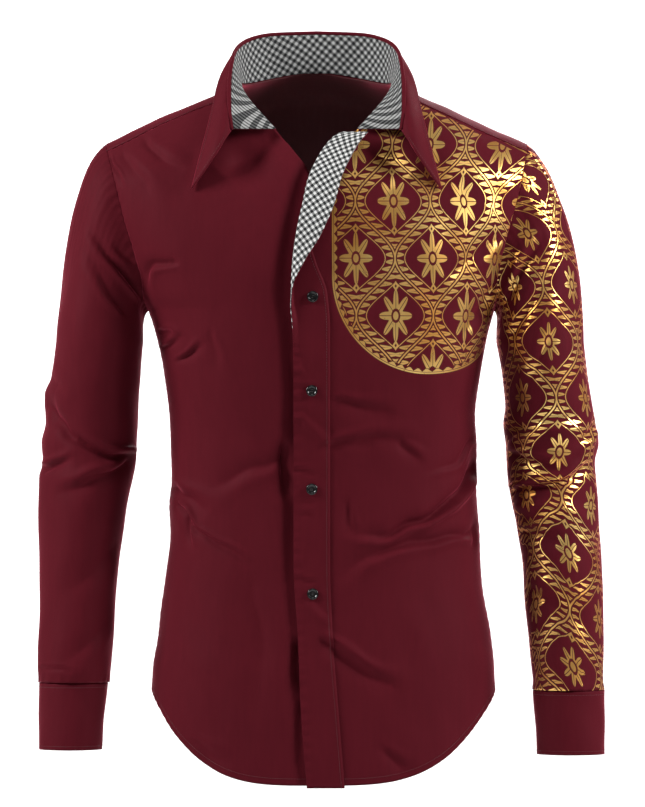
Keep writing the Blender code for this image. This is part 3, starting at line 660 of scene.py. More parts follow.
# Fronts
# Two panels of the same poplin. The wearer's right one laps under the left one, whose chest
# carries a gold foil print, pressed on before sewing. They hang from the yoke's front seams.
NECK_ROWS, EDGE_ROWS, FRONT_LOW_ROWS = 40, 56, 200
UNDERLAP = 0.0055  # how far the right front lies in under the left one
LAP_START, LAP_WIDE = 0.024, 0.016  # from where beside the placket's edge
LAP_FADE, LAP_FADE_TALL, LAP_LEAST = 0.62, 0.16, 0.35  # it lies closer towards the hem
NECK = Table(
    "angle arc",
    (31.5, -0.0970),
    (46.6, -0.0740),
    (62.0, -0.0520),
    (76.7, -0.0310),
    (90.0, -0.0060),
    (105.0, 0.0060),
    (120.0, 0.0126),
    (150.0, 0.0210),
    (180.0, 0.0252),
)
PLACKET = Table(
    "height stitch roll flap turn",
    (-0.7205, 0.0290, -0.0019, 0.0080, 0.0),
    (-0.6400, 0.0225, -0.0080, 0.0080, 0.0),
    (-0.5680, 0.0170, -0.0110, 0.0080, 0.0),
    (-0.4900, 0.0140, -0.0154, 0.0080, 0.0),
    (-0.3000, 0.0140, -0.0154, 0.0080, 0.0),
    (-0.2500, 0.0140, -0.0170, 0.0075, 25.0),
    (-0.2120, 0.0110, -0.0225, 0.0070, 95.0),
    (-0.1820, 0.0000, -0.0213, 0.0170, 148.0),
    (-0.1520, -0.0080, -0.0175, 0.0300, 167.0),
    (-0.1190, -0.0060, -0.0105, 0.0365, 171.0),
    (-0.0967, -0.0015, -0.0057, 0.0375, 172.0),
    (-0.0749, 0.0075, 0.0036, 0.0375, 172.0),
    (-0.0520, 0.0240, 0.0203, 0.0350, 172.0),
    (-0.0426, 0.0440, 0.0400, 0.0240, 172.0),
)
UNDER_EDGE = Table(
    "height across",
    (-0.7300, 0.0200),
    (-0.2000, 0.0140),
    (-0.1600, 0.0120),
    (-0.1200, 0.0040),
    (-0.0884, -0.0078),
    (-0.0620, -0.0260),
    (-0.0426, -0.0405),
)


def below_ridge(arc):
    """How far a point this far over the shoulder has come down: in front (-) or behind (+)."""
    rounding = np.where(arc < 0, FRONT_ROUND, BACK_ROUND)
    turn = np.abs(arc) / rounding
    straight = np.abs(arc) - rounding * math.pi / 2
    return np.where(turn < math.pi / 2, rounding * (1 - np.cos(turn)), rounding + straight)


def over(x, arc):
    """Height of the cloth this far over the shoulder line."""
    return ridge(x) - below_ridge(arc)


def arc_to(x, height, face):
    """How far over the shoulder this height lies: the other way round of below_ridge."""
    rounding = np.where(face < 0, FRONT_ROUND, BACK_ROUND)
    down = ridge(x) - height
    turn = np.arccos(np.clip(1 - down / rounding, -1, 1))
    return face * np.where(down < rounding, rounding * turn, down + rounding * (math.pi / 2 - 1))


def neckline(angle):
    """The neckline's x, for the wearer's left, and its arc over the shoulder."""
    return NECK_HALF * np.sin(np.radians(angle)), NECK.at("arc", angle)


def neck_seam_angle():
    """Where the yoke's front seam meets the neckline."""
    angles = np.linspace(NECK_END, 90, 400)
    return float(np.interp(-FRONT_SEAM, NECK.at("arc", angles), angles))


def front_seam_height():
    """Height at which the yoke's front seam meets the armhole."""
    heights = np.linspace(-0.10, -0.055, 400)
    arcs = arc_to(across(ARMHOLE.at("angle", heights), heights), heights, -1)
    return float(np.interp(-FRONT_SEAM, arcs, heights))


def front_grid(side, edge, columns=110):
    """A front from its free edge to its side seam, from the hem up to the yoke."""
    rows = []
    shares = np.linspace(0, 1, columns + 1)
    for share in np.linspace(0, 1, FRONT_LOW_ROWS + 1):
        middle = mix(HEM_FRONT, ARMPIT, share)
        angles = mix(angle_of(edge(middle), middle), side * 90.0, shares)
        heights = mix(hem(angles, -1), ARMPIT, share)
        rows.append(at_angle(angles, heights, -1))

    neck_angles = np.linspace(NECK_END, neck_seam_angle(), NECK_ROWS + 1)
    neck_x, neck_arc = neckline(neck_angles)
    neck_z = over(neck_x, neck_arc)
    edge_z = np.linspace(ARMPIT, neck_z[0], EDGE_ROWS + 1)[1:-1]
    inner_x = np.concatenate([edge(edge_z), side * neck_x])
    inner_z = np.concatenate([edge_z, neck_z])
    outer_z = armhole_heights(-1, ARMPIT, front_seam_height(), EDGE_ROWS + NECK_ROWS + 1)[1:]
    for row, (x, z, z_out) in enumerate(zip(inner_x, inner_z, outer_z)):
        share = (row + 1) / (EDGE_ROWS + NECK_ROWS)
        angles = mix(angle_of(x, z), side * ARMHOLE.at("angle", z_out), shares)
        heights = mix(z, z_out, shares)
        seam = over(across(angles, heights), -FRONT_SEAM)
        heights = heights + share**3 * (seam - mix(seam[0], seam[-1], shares))
        rows.append(at_angle(angles, heights, -1))
    return np.array(rows)


def front_layout(grid):
    """Flat places on a front: distance across from the middle, and height."""
    return np.stack([np.sign(grid[-1, -1, 0]) * lengths(grid, 1) + grid[:, :1, 0], grid[..., 2]], -1)


FOIL = (0.94, 0.68, 0.24)
FOIL_DEEP = (0.68, 0.34, 0.08)
# The print's sizes are in millimetres.
OGEE_WIDE, OGEE_TALL = 41.0, 118.0  # its pointed ovals, half their width
LEAF_PITCH, LEAF_GAP, LEAF_LONG = 7.2, 2.2, 7.0  # the leaves along their edges
PETAL_REACH, PETAL_DIP, PETAL_START, HEART = 18.5, 10.0, 4.8, 2.8  # the flower in each
BUD_UP = 30.5  # the buds above and below it


def stroke(field, at, half):
    """A line of this half width where the field has this value."""
    return (half - (field - at).size()).above_zero(0.3)


def ornament(u, v, bold):
    """Pointed ovals side by side, half dropped, edged with leaves and with a flower in each."""
    turn = math.pi / OGEE_TALL
    ovals = []
    for shift in (0.5, 0.0):
        aside = ((u / (2 * OGEE_WIDE) + shift).part() - 0.5) * (2 * OGEE_WIDE)
        up = ((v / OGEE_TALL + shift).part() - 0.5) * OGEE_TALL
        round_side = Field.math("COSINE", up * turn)
        ovals.append((aside, up, round_side * round_side * OGEE_WIDE - aside.size()))
    first = ovals[0][2].above_zero(0.02)
    aside = mix(ovals[1][0], ovals[0][0], first)
    up = mix(ovals[1][1], ovals[0][1], first)
    slope = (up * (2 * turn)).sine() * (OGEE_WIDE * turn)
    edge = ovals[0][2].size() / Field.math("SQRT", slope * slope + 1.0)

    line = (0.75 - edge).above_zero(0.3)
    inner = stroke(edge, 10.4, 0.4)
    along = (up / LEAF_PITCH).part() - 0.5
    deep = (edge - LEAF_GAP) / LEAF_LONG
    leaf = (Field.math("SQRT", (1.0 - deep).upper(0.0)) * (0.40 * bold) - along.size()).above_zero(0.06)
    leaf = leaf * (edge - LEAF_GAP).above_zero(0.3) * (9.0 - edge).above_zero(0.3)
    leaf = leaf * (along.size() - 0.035 + deep * 0.05).above_zero(0.04)

    tall = up * 0.64
    radius = Field.math("SQRT", aside * aside + tall * tall)
    angle = Field.math("ARCTAN2", tall, aside)
    petal = (angle * 4.0).sine().size()
    reach = PETAL_REACH * bold - petal * petal * (PETAL_DIP * bold)
    petals = (reach - radius).above_zero(0.4) * (radius - PETAL_START).above_zero(0.4)
    petals = petals * (petal * radius * 0.25 - 0.30).above_zero(0.3)
    heart = (HEART - radius).above_zero(0.4)
    from_bud = aside.size() * 1.5 + (up.size() - BUD_UP).size()
    bud, bud_heart = ((reach - from_bud).above_zero(0.5) for reach in (5.2, 1.9))
    motif = petals.upper(heart).upper(bud - bud_heart)
    return line.upper(inner).upper(leaf).upper(motif)


def make_printed(name, inside_print, bold=0.93):
    """Poplin with the gold foil pressed on wherever the print lies."""
    finish, shader = new_finish(name)
    u, v = layout_fields()
    place, border = inside_print(u, v)
    worn = (noise_field(420.0, 3.0) - 0.27).above_zero(0.10)
    foil = ornament(u, v, bold) * (place - 6.0).above_zero(0.3)
    foil = foil.upper(border) * place.above_zero(0.3) * worn
    tone = Field.math("MULTIPLY", noise_field(16.0, 3.0) - 0.36, 2.6, clamp=True)
    gold = colour_mix(tone, FOIL_DEEP, FOIL)
    give(shader, Base_Color=colour_mix(foil, poplin_colour(), gold))
    cloth_gloss(shader)
    rough = (noise_field(60.0, 3.0) * 0.16 + 0.22 - CLOTH_ROUGH) * foil + CLOTH_ROUGH
    give(shader, Metallic=foil * 0.92, Roughness=rough)
    add_bump(shader, weave(u, v) * 0.6 + noise_field(300.0, 3.0) * 0.8 + foil * 0.8, 0.00009, 0.35)
    return finish


PRINT_X, PRINT_Z, PRINT_RADIUS = 116.0, -196.0, 100.0  # millimetres: its rounded lower end
PRINT_ROUND, TEETH = 628.3, 64  # once round it, and the teeth of its border in that


def chest_print(u, v):
    """How far inside the print's outline each point lies, and its border."""
    aside, below = u - PRINT_X, (v - PRINT_Z).lower(0.0)
    aside = aside.lower(aside * 0.72)
    outline = PRINT_RADIUS - Field.math("SQRT", aside * aside + below * below)
    shoulder = Field.math("SQRT", u * u + 2500.0) * -RIDGE_SLOPE + 47.0 - v  # near its ridge
    place = outline.lower(shoulder)
    turn = Field.math("ARCTAN2", below, aside) * (TEETH / (2 * math.pi))
    turn = turn + (v - PRINT_Z).upper(0.0) * (TEETH / PRINT_ROUND)
    tooth = (turn.part() - 0.5).size() * 2.0
    line = stroke(place, 1.1, 0.75)
    teeth = (outline - 2.4).above_zero(0.3) * (tooth * 4.0 + 2.4 - outline).above_zero(0.3)
    return place, line.upper(teeth * (5.5 - outline).above_zero(0.3))


PRINTED_CHEST = make_printed("burgundy_poplin_foil_chest", chest_print)

right = front_grid(-1, lambda height: UNDER_EDGE.at("across", height))
overlap = np.clip((right[..., 0] - PLACKET.at("roll", right[..., 2]) + LAP_START) / LAP_WIDE, 0, 1)
faded = np.clip((right[..., 2] + LAP_FADE) / LAP_FADE_TALL, LAP_LEAST, 1)
right[..., 1] += UNDERLAP * faded * overlap**2 * (3 - 2 * overlap)
right, right_piece = hang(
    "front_right_panel", "front_right", right, "bottom top end", [POPLIN, WRONG_SIDE_AND_PAINTED_LIGHT], "poplin",
    front_layout,
)

left = front_grid(1, lambda height: PLACKET.at("roll", height) + 0.0015)
left, left_piece = hang(
    "front_left_panel", "front_left", left, "bottom top end", [PRINTED_CHEST, WRONG_SIDE_AND_PAINTED_LIGHT],
    "poplin_printed", front_layout,
)

# Yoke
# A double piece of poplin over both shoulders and behind the neck. The fronts and the back are
# sewn between its layers and topstitched, and the collar stand is set round its neckline.
YOKE_BEND = 0.62  # share of the back seam that lies below the shoulder seams
YOKE_LAP, YOKE_LAP_LIFT = 0.012, 0.0006  # its front edges lie on the fronts
YOKE_STITCH = 0.0016
YOKE_SEAM_COLUMNS = 48  # along each front seam


def over_shoulder(angles, arcs):
    """Points at these section angles, carried this far over the shoulder."""
    heights = np.zeros(len(angles))
    for _ in range(12):
        heights = over(across(angles, heights), arcs)
    return at_angle(angles, heights, np.where(arcs < 0, -1, 1))


def yoke_grid(seam_columns=YOKE_SEAM_COLUMNS, neck_columns=30, rows=42):
    """From the front seams and the back of the neckline down to the seam across the back."""
    top_angle, corner = ARMHOLE.at("angle", BACK_SEAM), neck_seam_angle()
    seam = -FRONT_SEAM - 4 * SEAM_GAP
    corner_x = NECK_HALF * math.sin(math.radians(corner))
    corner_angle = angle_of(corner_x, over(corner_x, seam))
    outside = mix(top_angle, corner_angle, np.linspace(0, 1, seam_columns + 1))
    neck_x, neck_arc = neckline(np.linspace(corner, 180, neck_columns + 1)[1:])
    around = angle_of(neck_x, over(neck_x, neck_arc))
    start = np.concatenate([outside, around])
    arcs = np.concatenate([np.full(seam_columns + 1, seam), neck_arc])
    bend = YOKE_BEND * top_angle
    lower = np.concatenate(
        [
            mix(top_angle, bend, np.linspace(0, 1, seam_columns + 1)),
            mix(bend, 0.0, np.linspace(0, 1, neck_columns + 1)[1:]),
        ]
    )
    start = np.concatenate([-start[:-1], start[::-1]])
    arcs = np.concatenate([arcs[:-1], arcs[::-1]])
    lower = np.concatenate([-lower[:-1], lower[::-1]])
    seam_arcs = arc_to(across(lower, BACK_SEAM), np.full(len(lower), BACK_SEAM), 1)
    shares = np.linspace(0, 1, rows + 1)
    return np.array([over_shoulder(mix(start, lower, s), mix(arcs, seam_arcs, s)) for s in shares])


yoke = yoke_grid()
under_yoke = torso_inside(yoke) - np.array([0, 0, 0.2])
yoke, yoke_normals = lived_in(yoke, TORSO_FOLDS, inside=under_yoke)
yoke_lap = 1 - np.clip(lengths(yoke, 0) / YOKE_LAP, 0, 1)
yoke = yoke + yoke_normals * (yoke_lap * YOKE_LAP_LIFT)[..., None]
yoke_piece = sew(
    "yoke_panel", yoke, yoke_normals, [POPLIN, WRONG_SIDE_AND_PAINTED_LIGHT], "yoke", yoke[..., [0, 2]]
)
yoke_front = line_inside(yoke, yoke_normals, "bottom", YOKE_STITCH)
SEWN_LINES.extend([yoke_front[: YOKE_SEAM_COLUMNS - 1], yoke_front[1 - YOKE_SEAM_COLUMNS :]])
SEWN_LINES.append(line_inside(yoke, yoke_normals, "top", YOKE_STITCH))

# Placket
# A band of doubled poplin down the left front's edge, stitched to it along one side and buttoned
# to the right front. Above the first button it is worn turned out, like a lapel.
PLACKET_LIFT = 0.0005
BEND = 0.0020  # how closely its open top is turned over
PLACKET_TOP = -0.0471
CLOSED_BELOW = -0.262  # its free edge is drawn up a little by the buttons
FLAT_COLUMNS, BEND_COLUMNS, FLAP_COLUMNS = 12, 6, 12


def placket_grid(heights):
    """The band's outer face from its stitch line to its free edge."""
    grid = []
    for height in heights:
        stitch, roll, flap, turn = (
            float(PLACKET.at(name, height)) for name in ("stitch", "roll", "flap", "turn")
        )
        sewn = np.linspace(stitch, roll, FLAT_COLUMNS)
        points = body(sewn, height, -1)
        slope = (body(sewn + 1e-4, height, -1) - points)[:, :2] / 1e-4
        outward = unit(np.stack([slope[:, 1], -slope[:, 0], np.zeros(FLAT_COLUMNS)], -1))
        swell = 0.0011 * swells(points * HANGING, SWELLS[0], 1)
        swell = swell + 0.00035 * swells(points * HANGING, SWELLS[1], 2)
        moved = creases(points, outward, TORSO_FOLDS) + swell
        points = points + outward * (PLACKET_LIFT + WALL + moved)[:, None]
        normal = outward[-1]
        along = np.array([normal[1], -normal[0], 0.0])
        bend = max(math.radians(turn), 1e-3)
        arc = max(BEND * bend, 0.003)
        radius = arc / bend
        steps = np.linspace(0, 1, BEND_COLUMNS + 1)[1:] * arc
        rolled = [radius * (along * math.sin(a / radius) + normal * (1 - math.cos(a / radius)))
                  for a in steps]
        ahead = along * math.cos(bend) + normal * math.sin(bend)
        far = np.linspace(0, flap - arc, FLAP_COLUMNS + 1)[1:]
        flat = [rolled[-1] + ahead * length for length in far]
        grid.append(np.concatenate([points, points[-1] + np.array(rolled + flat)]))
    return np.array(grid)


placket_heights = np.concatenate([
    np.linspace(PLACKET.keys[0], -0.300, 130)[:-1], np.linspace(-0.300, PLACKET_TOP, 110)
])
placket = placket_grid(placket_heights)
placket_normals = normals_of(placket)
placket = placket + placket_normals * puckers(placket, "start", 0.00025, 0.009)
drawn = puckers(placket, "end", 0.0005, 0.0115, 0.008)
placket = placket + placket_normals * drawn * (placket[..., 2:] < CLOSED_BELOW)
placket_piece = sew(
    "placket_band", placket, placket_normals, [POPLIN], "placket",
    cut_layout(placket, 0, 0),
)
SEWN_LINES.append(line_inside(placket, placket_normals, "start", 0.0035))

# Facing
# The inside of the placket's turned-out top, faced with a strip of fine black and white gingham
# that is seen from the front. It is sewn in with the placket's edges.
FACING_END = -0.249  # below this the placket is closed and hides it
FACING_GAP = 0.0002


def make_gingham(name, turn, white, check):
    """Stripes of this many millimetres that cross, turned by this many degrees."""
    finish, shader = new_finish(name)
    u, v = layout_fields()
    cos, sin = math.cos(math.radians(turn)), math.sin(math.radians(turn))
    along, aside = u * cos + v * sin, v * cos - u * sin
    stripes = [
        (((way / (2 * check)).part() - 0.5).size() - 0.25).above_zero(0.03) for way in (along, aside)
    ]
    grey = (stripes[0] + stripes[1]) * 0.5
    speck = (noise_field(500.0, 2.0) - 0.5) * 0.30
    grey = Field.math("POWER", Field.math("ADD", grey, speck, clamp=True), 1.9)
    colour = colour_mix(grey, (0.008, 0.008, 0.009), (white, white, 0.98 * white))
    give(shader, Base_Color=colour, Roughness=0.72, Specular_IOR_Level=0.12, Sheen_Weight=0.03)
    add_bump(shader, weave(u, v) * 0.7 + noise_field(900.0, 2.0) * 0.4, 0.00009, 0.4)
    return finish


FACING_GINGHAM = make_gingham("black_white_gingham", 48.0, 0.60, 2.8)
shown = placket_heights > FACING_END
facing = (placket - placket_normals * (CLOTH + FACING_GAP))[shown][:, FLAT_COLUMNS - 1 :]
facing_piece = sew(
    "facing_strip", facing, placket_normals[shown][:, FLAT_COLUMNS - 1 :], [FACING_GINGHAM],
    "facing", cut_layout(facing, 0, 0),
)

# Collar
# A stand of two layers, burgundy outside and gingham inside, sewn up from the neckline, and a
# burgundy leaf with stiffened points that folds over it. Its edge is topstitched.
STAND_CLOTH, LEAF_CLOTH = 0.0010, 0.0013
LEAF_BOW, LEAF_AHEAD = 0.004, 0.020
LEAF_STITCH = 0.005
COLLAR_COLUMNS = 150
COLLAR = Table(
    "angle fold_x fold_y fold_z edge_x edge_y edge_z",
    (31.5, 0.0855, -0.0720, -0.0435, 0.1295, -0.0868, -0.1060),
    (50.0, 0.0880, -0.0580, -0.0220, 0.1190, -0.0718, -0.0640),
    (70.0, 0.0885, -0.0320, 0.0060, 0.1100, -0.0440, -0.0270),
    (90.0, 0.0855, -0.0010, 0.0350, 0.1030, -0.0080, 0.0010),
    (115.0, 0.0740, 0.0330, 0.0500, 0.0880, 0.0400, 0.0060),
    (145.0, 0.0460, 0.0590, 0.0585, 0.0570, 0.0720, 0.0100),
    (180.0, 0.0000, 0.0680, 0.0605, 0.0000, 0.0860, 0.0130),
)


def neck_point(angle):
    """The point of the neckline here, on the wearer's left."""
    x, arc = neckline(angle)
    return body(x, over(x, arc), np.sign(arc))


def collar_grids(columns=COLLAR_COLUMNS, stand_rows=14, fall_rows=22):
    """The stand from the neckline to the fold, and the leaf from the fold to its edge."""
    turns = np.linspace(NECK_END, 360 - NECK_END, columns + 1)
    side = np.where(turns <= 180, 1.0, -1.0)
    angles = np.where(turns <= 180, turns, 360 - turns)
    mirror = np.stack([side, np.ones_like(side), np.ones_like(side)], -1)
    foot = neck_point(angles) * mirror
    fold, edge = (
        np.stack([COLLAR.at(line + axis, angles) for axis in "xyz"], -1) * mirror
        for line in ("fold_", "edge_")
    )
    up = unit(fold - foot)
    out = unit(np.cross(np.gradient(fold, axis=0), up))
    out *= np.sign(np.sum(out * fold * np.array([1, 1, 0])))
    lift = np.array([0.0, -0.0006, 0.0]) * np.clip((70 - angles) / 30, 0, 1)[:, None]
    start = foot + up * SEAM_GAP * 2 + lift
    stand = np.array([mix(start, fold, share) for share in np.linspace(0, 1, stand_rows + 1)])
    turn = np.linspace(-math.pi / 2, math.pi / 2, 9)
    roll = [(0.0016 + 0.0026 * math.cos(a), 0.0006 + 0.0018 * math.sin(a)) for a in turn]
    roll = [(0.0003, -WALL), *roll[1:]]
    leaf = [fold + up * rise + out * aside for rise, aside in roll]
    for share in np.linspace(0, 1, fall_rows + 1)[1:]:
        bow = LEAF_BOW * math.sin(math.pi * share)
        ahead = LEAF_AHEAD * math.sin(math.pi * share**0.7) * np.clip((80 - angles) / 40, 0, 1)
        leaf.append(mix(leaf[len(roll) - 1], edge, share) + out * bow)
        leaf[-1][:, 1] -= ahead
    return stand, np.array(leaf)


# The stand's gingham is a darkened copy of the facing's, with its white at 0.33 against 0.60: painted
# shade for the shaded inside of the stand. It is also turned a little further and has a slightly larger
# check.
STAND_GINGHAM_PAINTED_SHADE = make_gingham("black_white_gingham_bias_painted_shade", 38.0, 0.33, 3.1)
stand, leaf = collar_grids()
stand_piece = sew(
    "collar_stand_band", stand, normals_of(stand, inside=np.zeros(3)), [POPLIN, STAND_GINGHAM_PAINTED_SHADE],
    "collar_stand", cut_layout(stand, COLLAR_COLUMNS // 2, 0), thick=STAND_CLOTH,
)
leaf_normals = normals_of(leaf, inside=np.zeros(3))
leaf_piece = sew(
    "collar_leaf_fold", leaf, leaf_normals, [POPLIN], "collar_leaf",
    cut_layout(leaf, COLLAR_COLUMNS // 2, 0), thick=LEAF_CLOTH,
)
for edge, ends in (("top", slice(4, -4)), ("start", slice(12, -2)), ("end", slice(12, -2))):
    SEWN_LINES.append(line_inside(leaf, leaf_normals, edge, LEAF_STITCH)[ends])

# Sleeves
# Long one-piece sleeves of poplin, set into the armholes and closed by a seam underneath. They
# hang beside the body, crease at the elbow, and the left one is foil printed all round.
SLEEVES = {
    "right": Table(
        "height inner outer middle depth",
        (-0.6146, 0.2145, 0.2886, -0.0220, 0.0430),
        (-0.5940, 0.2116, 0.2886, -0.0185, 0.0445),
        (-0.5140, 0.2054, 0.2876, -0.0060, 0.0500),
        (-0.4400, 0.1980, 0.2876, 0.0040, 0.0555),
        (-0.4020, 0.1920, 0.2876, 0.0060, 0.0580),
        (-0.3860, 0.1895, 0.2840, 0.0060, 0.0590),
        (-0.3680, 0.1880, 0.2850, 0.0060, 0.0600),
        (-0.3440, 0.1860, 0.2800, 0.0050, 0.0615),
        (-0.3180, 0.1856, 0.2800, 0.0035, 0.0630),
        (-0.3000, 0.1840, 0.2740, 0.0020, 0.0640),
        (-0.2620, 0.1800, 0.2695, 0.0000, 0.0660),
    ),
    "left": Table(
        "height inner outer middle depth",
        (-0.6225, 0.2238, 0.2990, -0.0220, 0.0430),
        (-0.5750, 0.2190, 0.2980, -0.0155, 0.0455),
        (-0.5290, 0.2150, 0.2970, -0.0080, 0.0490),
        (-0.4900, 0.2137, 0.2970, -0.0020, 0.0520),
        (-0.4500, 0.2090, 0.2938, 0.0040, 0.0550),
        (-0.4280, 0.2040, 0.2930, 0.0050, 0.0565),
        (-0.4060, 0.2000, 0.2915, 0.0060, 0.0580),
        (-0.3860, 0.1980, 0.2900, 0.0060, 0.0590),
        (-0.3680, 0.1965, 0.2938, 0.0060, 0.0600),
        (-0.3480, 0.1940, 0.2910, 0.0050, 0.0610),
        (-0.3270, 0.1970, 0.2870, 0.0035, 0.0625),
        (-0.3000, 0.1955, 0.2830, 0.0020, 0.0640),
        (-0.2620, 0.1890, 0.2790, 0.0000, 0.0660),
    ),
}
CAP_TOP = -0.262
CAP_ROWS = 50
SLEEVE_MIDDLE = 60  # the column from which its flat layout runs
SLEEVE_FOLDS = {
    "right": (
        (-1, -7.5, -8.4, 0.0, (-283, -312), (-274, -338), (-259, -356), (-238, -368), (-213, -375)),
        (-1, -6.5, -9.4, 0.6, (-187, -380), (-209, -379), (-229, -373), (-250, -362)),
        (-1, 4.5, -5.5, 0.7, (-291, -396), (-275, -389), (-252, -382)),
        (-1, -8.0, -6.0, 0.7, (-193, -387), (-217, -399), (-240, -410), (-269, -421)),
        (-1, 5.0, -6.2, 0.6, (-173, -227), (-193, -204), (-213, -178), (-238, -142)),
        (-1, 7.0, -4.7, 0.5, (-202, -227), (-219, -203), (-236, -172)),
        (-1, 7.0, -4.2, 0.3, (-184, -179), (-196, -173), (-211, -161)),
        (-1, 9.0, -3.4, 0.4, (-288, -281), (-275, -302), (-256, -318)),
        (-1, 2.5, -2.3, 0.5, (-290, -604), (-269, -599), (-246, -604)),
        (-1, 15.0, -3.4, 0.4, (-212, -480), (-233, -505), (-262, -520)),
        (-1, 12.0, -2.7, 0.4, (-222, -560), (-243, -581), (-268, -596)),
        (1, 7.0, -8.5, 0.6, (-286, -330), (-239, -350), (-200, -384)),
        (1, 9.0, 5.1, 0.4, (-284, -410), (-242, -393), (-205, -366)),
        (1, 8.0, -6.1, 0.5, (-282, -422), (-247, -425), (-214, -436)),
        (1, 9.0, -5.1, 0.4, (-240, -140), (-216, -178), (-200, -220)),
        (1, 11.0, -4.0, 0.4, (-262, -210), (-240, -254), (-226, -300)),
        (1, 14.0, -3.8, 0.3, (-218, -500), (-241, -526), (-270, -546)),
    ),
    "left": (
        (-1, 5.5, -8.8, 0.7, (201, -416), (224, -413), (247, -409), (270, -399), (295, -385)),
        (-1, 11.0, 6.1, 0.3, (208, -364), (247, -352), (288, -352)),
        (-1, 7.0, -5.1, 0.5, (204, -378), (232, -391), (262, -396)),
        (-1, 6.0, -5.1, 0.5, (294, -344), (280, -360), (262, -372)),
        (-1, 11.0, 5.1, 0.3, (214, -432), (248, -434), (280, -448)),
        (-1, 10.0, -3.8, 0.4, (216, -460), (240, -464), (262, -476)),
        (-1, 7.0, -6.1, 0.5, (198, -216), (216, -181), (240, -150)),
        (-1, 9.0, -4.4, 0.4, (206, -250), (228, -211), (256, -176)),
        (-1, 11.0, -3.8, 0.4, (222, -300), (242, -261), (268, -226)),
        (-1, 13.0, -3.4, 0.4, (224, -520), (254, -537), (280, -560)),
        (1, 7.5, -8.1, 0.6, (205, -346), (244, -377), (290, -398)),
        (1, 9.0, 5.1, 0.4, (212, -420), (251, -426), (288, -440)),
        (1, 8.0, -5.5, 0.5, (210, -372), (242, -390), (270, -414)),
        (1, 10.0, -4.7, 0.4, (206, -220), (221, -178), (244, -140)),
        (1, 14.0, -3.8, 0.3, (226, -500), (255, -517), (280, -540)),
    ),
}


def sleeve_ring(table, side, height, turns):
    """A ring from the sleeve's inner side round its front, in whole turns."""
    inner, outer = table.at("inner", height), table.at("outer", height)
    x = (inner + outer) / 2 - (outer - inner) / 2 * np.cos(2 * math.pi * turns)
    y = table.at("middle", height) - table.at("depth", height) * np.sin(2 * math.pi * turns)
    return np.stack([side * x, y, np.full(len(turns), height)], -1)


def sleeve_grid(name, side, armhole, cap_rows=CAP_ROWS, hang_rows=140):
    """From the armhole's own edge points down to the cuff."""
    table = SLEEVES[name]
    length = lengths(np.concatenate([armhole, armhole[:1]]), 0)
    turns = length[:-1] / length[-1]
    hang = sleeve_ring(table, side, CAP_TOP, turns)
    chord = np.linalg.norm(hang - armhole, axis=1)[:, None]
    outward = np.array([side * 0.88, 0, -0.47])
    tucked = 0.0005 * (armhole - armhole.mean(axis=0)) * np.array([0.0, 1.0, 1.0]) / 0.12
    start = armhole - outward * SEAM_GAP - tucked
    leave = start + outward * (0.003 + 0.13 * chord)
    arrive = hang + np.array([0, 0, 1]) * 0.43 * chord
    rows = []
    for t in np.linspace(0, 1, cap_rows + 1):
        near = start * (1 - t) ** 3 + 3 * leave * t * (1 - t) ** 2
        far = 3 * arrive * t**2 * (1 - t) + hang * t**3
        rows.append(near + far)
    for height in np.linspace(CAP_TOP, table.keys[0], hang_rows + 1)[1:]:
        rows.append(sleeve_ring(table, side, height, turns))
    return np.array(rows)


def ring_middles(grid):
    """The middle of each ring, as the inside its normals point away from."""
    return grid.mean(axis=1, keepdims=True)


CAP_PRINT_X, CAP_PRINT_Z, CAP_PRINT_SLOPE = 222.0, -58.0, 0.62  # millimetres, down to the outside


def sleeve_print(u, v):
    """The sleeve's print covers it from a slanted line over the cap down to the cuff."""
    place = Field.tree.nodes.new("ShaderNodeTexCoord")
    x, z = millimetres(place.outputs["Object"], 2)
    below = (x - CAP_PRINT_X) * -CAP_PRINT_SLOPE + CAP_PRINT_Z - z
    return below, stroke(below, 1.1, 0.75)


PRINTED_SLEEVE = make_printed("burgundy_poplin_foil_sleeve", sleeve_print, bold=0.70)

PLEATS = ((0.60, 0.030), (0.70, 0.025))  # where round the sleeve, and how wide
PLEAT_DEEP, PLEAT_TALL = 0.0022, 0.030
for name, side, front, end, finish, slot in (
    ("right", -1, right, 0, POPLIN, "poplin"),
    ("left", 1, left, -1, PRINTED_SLEEVE, "poplin_printed"),
):
    armhole = np.concatenate(
        [front[FRONT_LOW_ROWS:, -1], yoke[1:-1, end], back[BACK_LOW_ROWS + 1 :, end][::-1]]
    )
    sleeve = sleeve_grid(name, side, armhole)
    down = lengths(sleeve, 0)
    up = down[-1:] - down
    turns = np.linspace(0, 1, sleeve.shape[1], endpoint=False)[None]
    fade = np.clip(down / 0.020, 0, 1) * np.clip(up / 0.010, 0.15, 1)
    sleeve, normals = lived_in(
        sleeve, SLEEVE_FOLDS[name], True, ring_middles(sleeve), soft=0.0016, seed=11, fade=fade
    )
    pleats = sum(np.exp(-(((turns - at) / wide) ** 2)) for at, wide in PLEATS)
    pleats = pleats * np.exp(-((up / PLEAT_TALL) ** 2)) * np.clip(up / 0.004, 0, 1)
    sleeve = sleeve - normals * (PLEAT_DEEP * pleats)[..., None]
    sleeve = sleeve + normals * puckers(sleeve, "bottom top", 0.00030, 0.011, 0.008)
    closed = np.concatenate([sleeve, sleeve[:, :1]], 1)
    sleeve_piece = sew(
        "sleeve_" + name + "_tube", sleeve, normals, [finish, WRONG_SIDE_AND_PAINTED_LIGHT], "sleeve_" + name,
        cut_layout(closed, SLEEVE_MIDDLE, CAP_ROWS), around=True,
    )

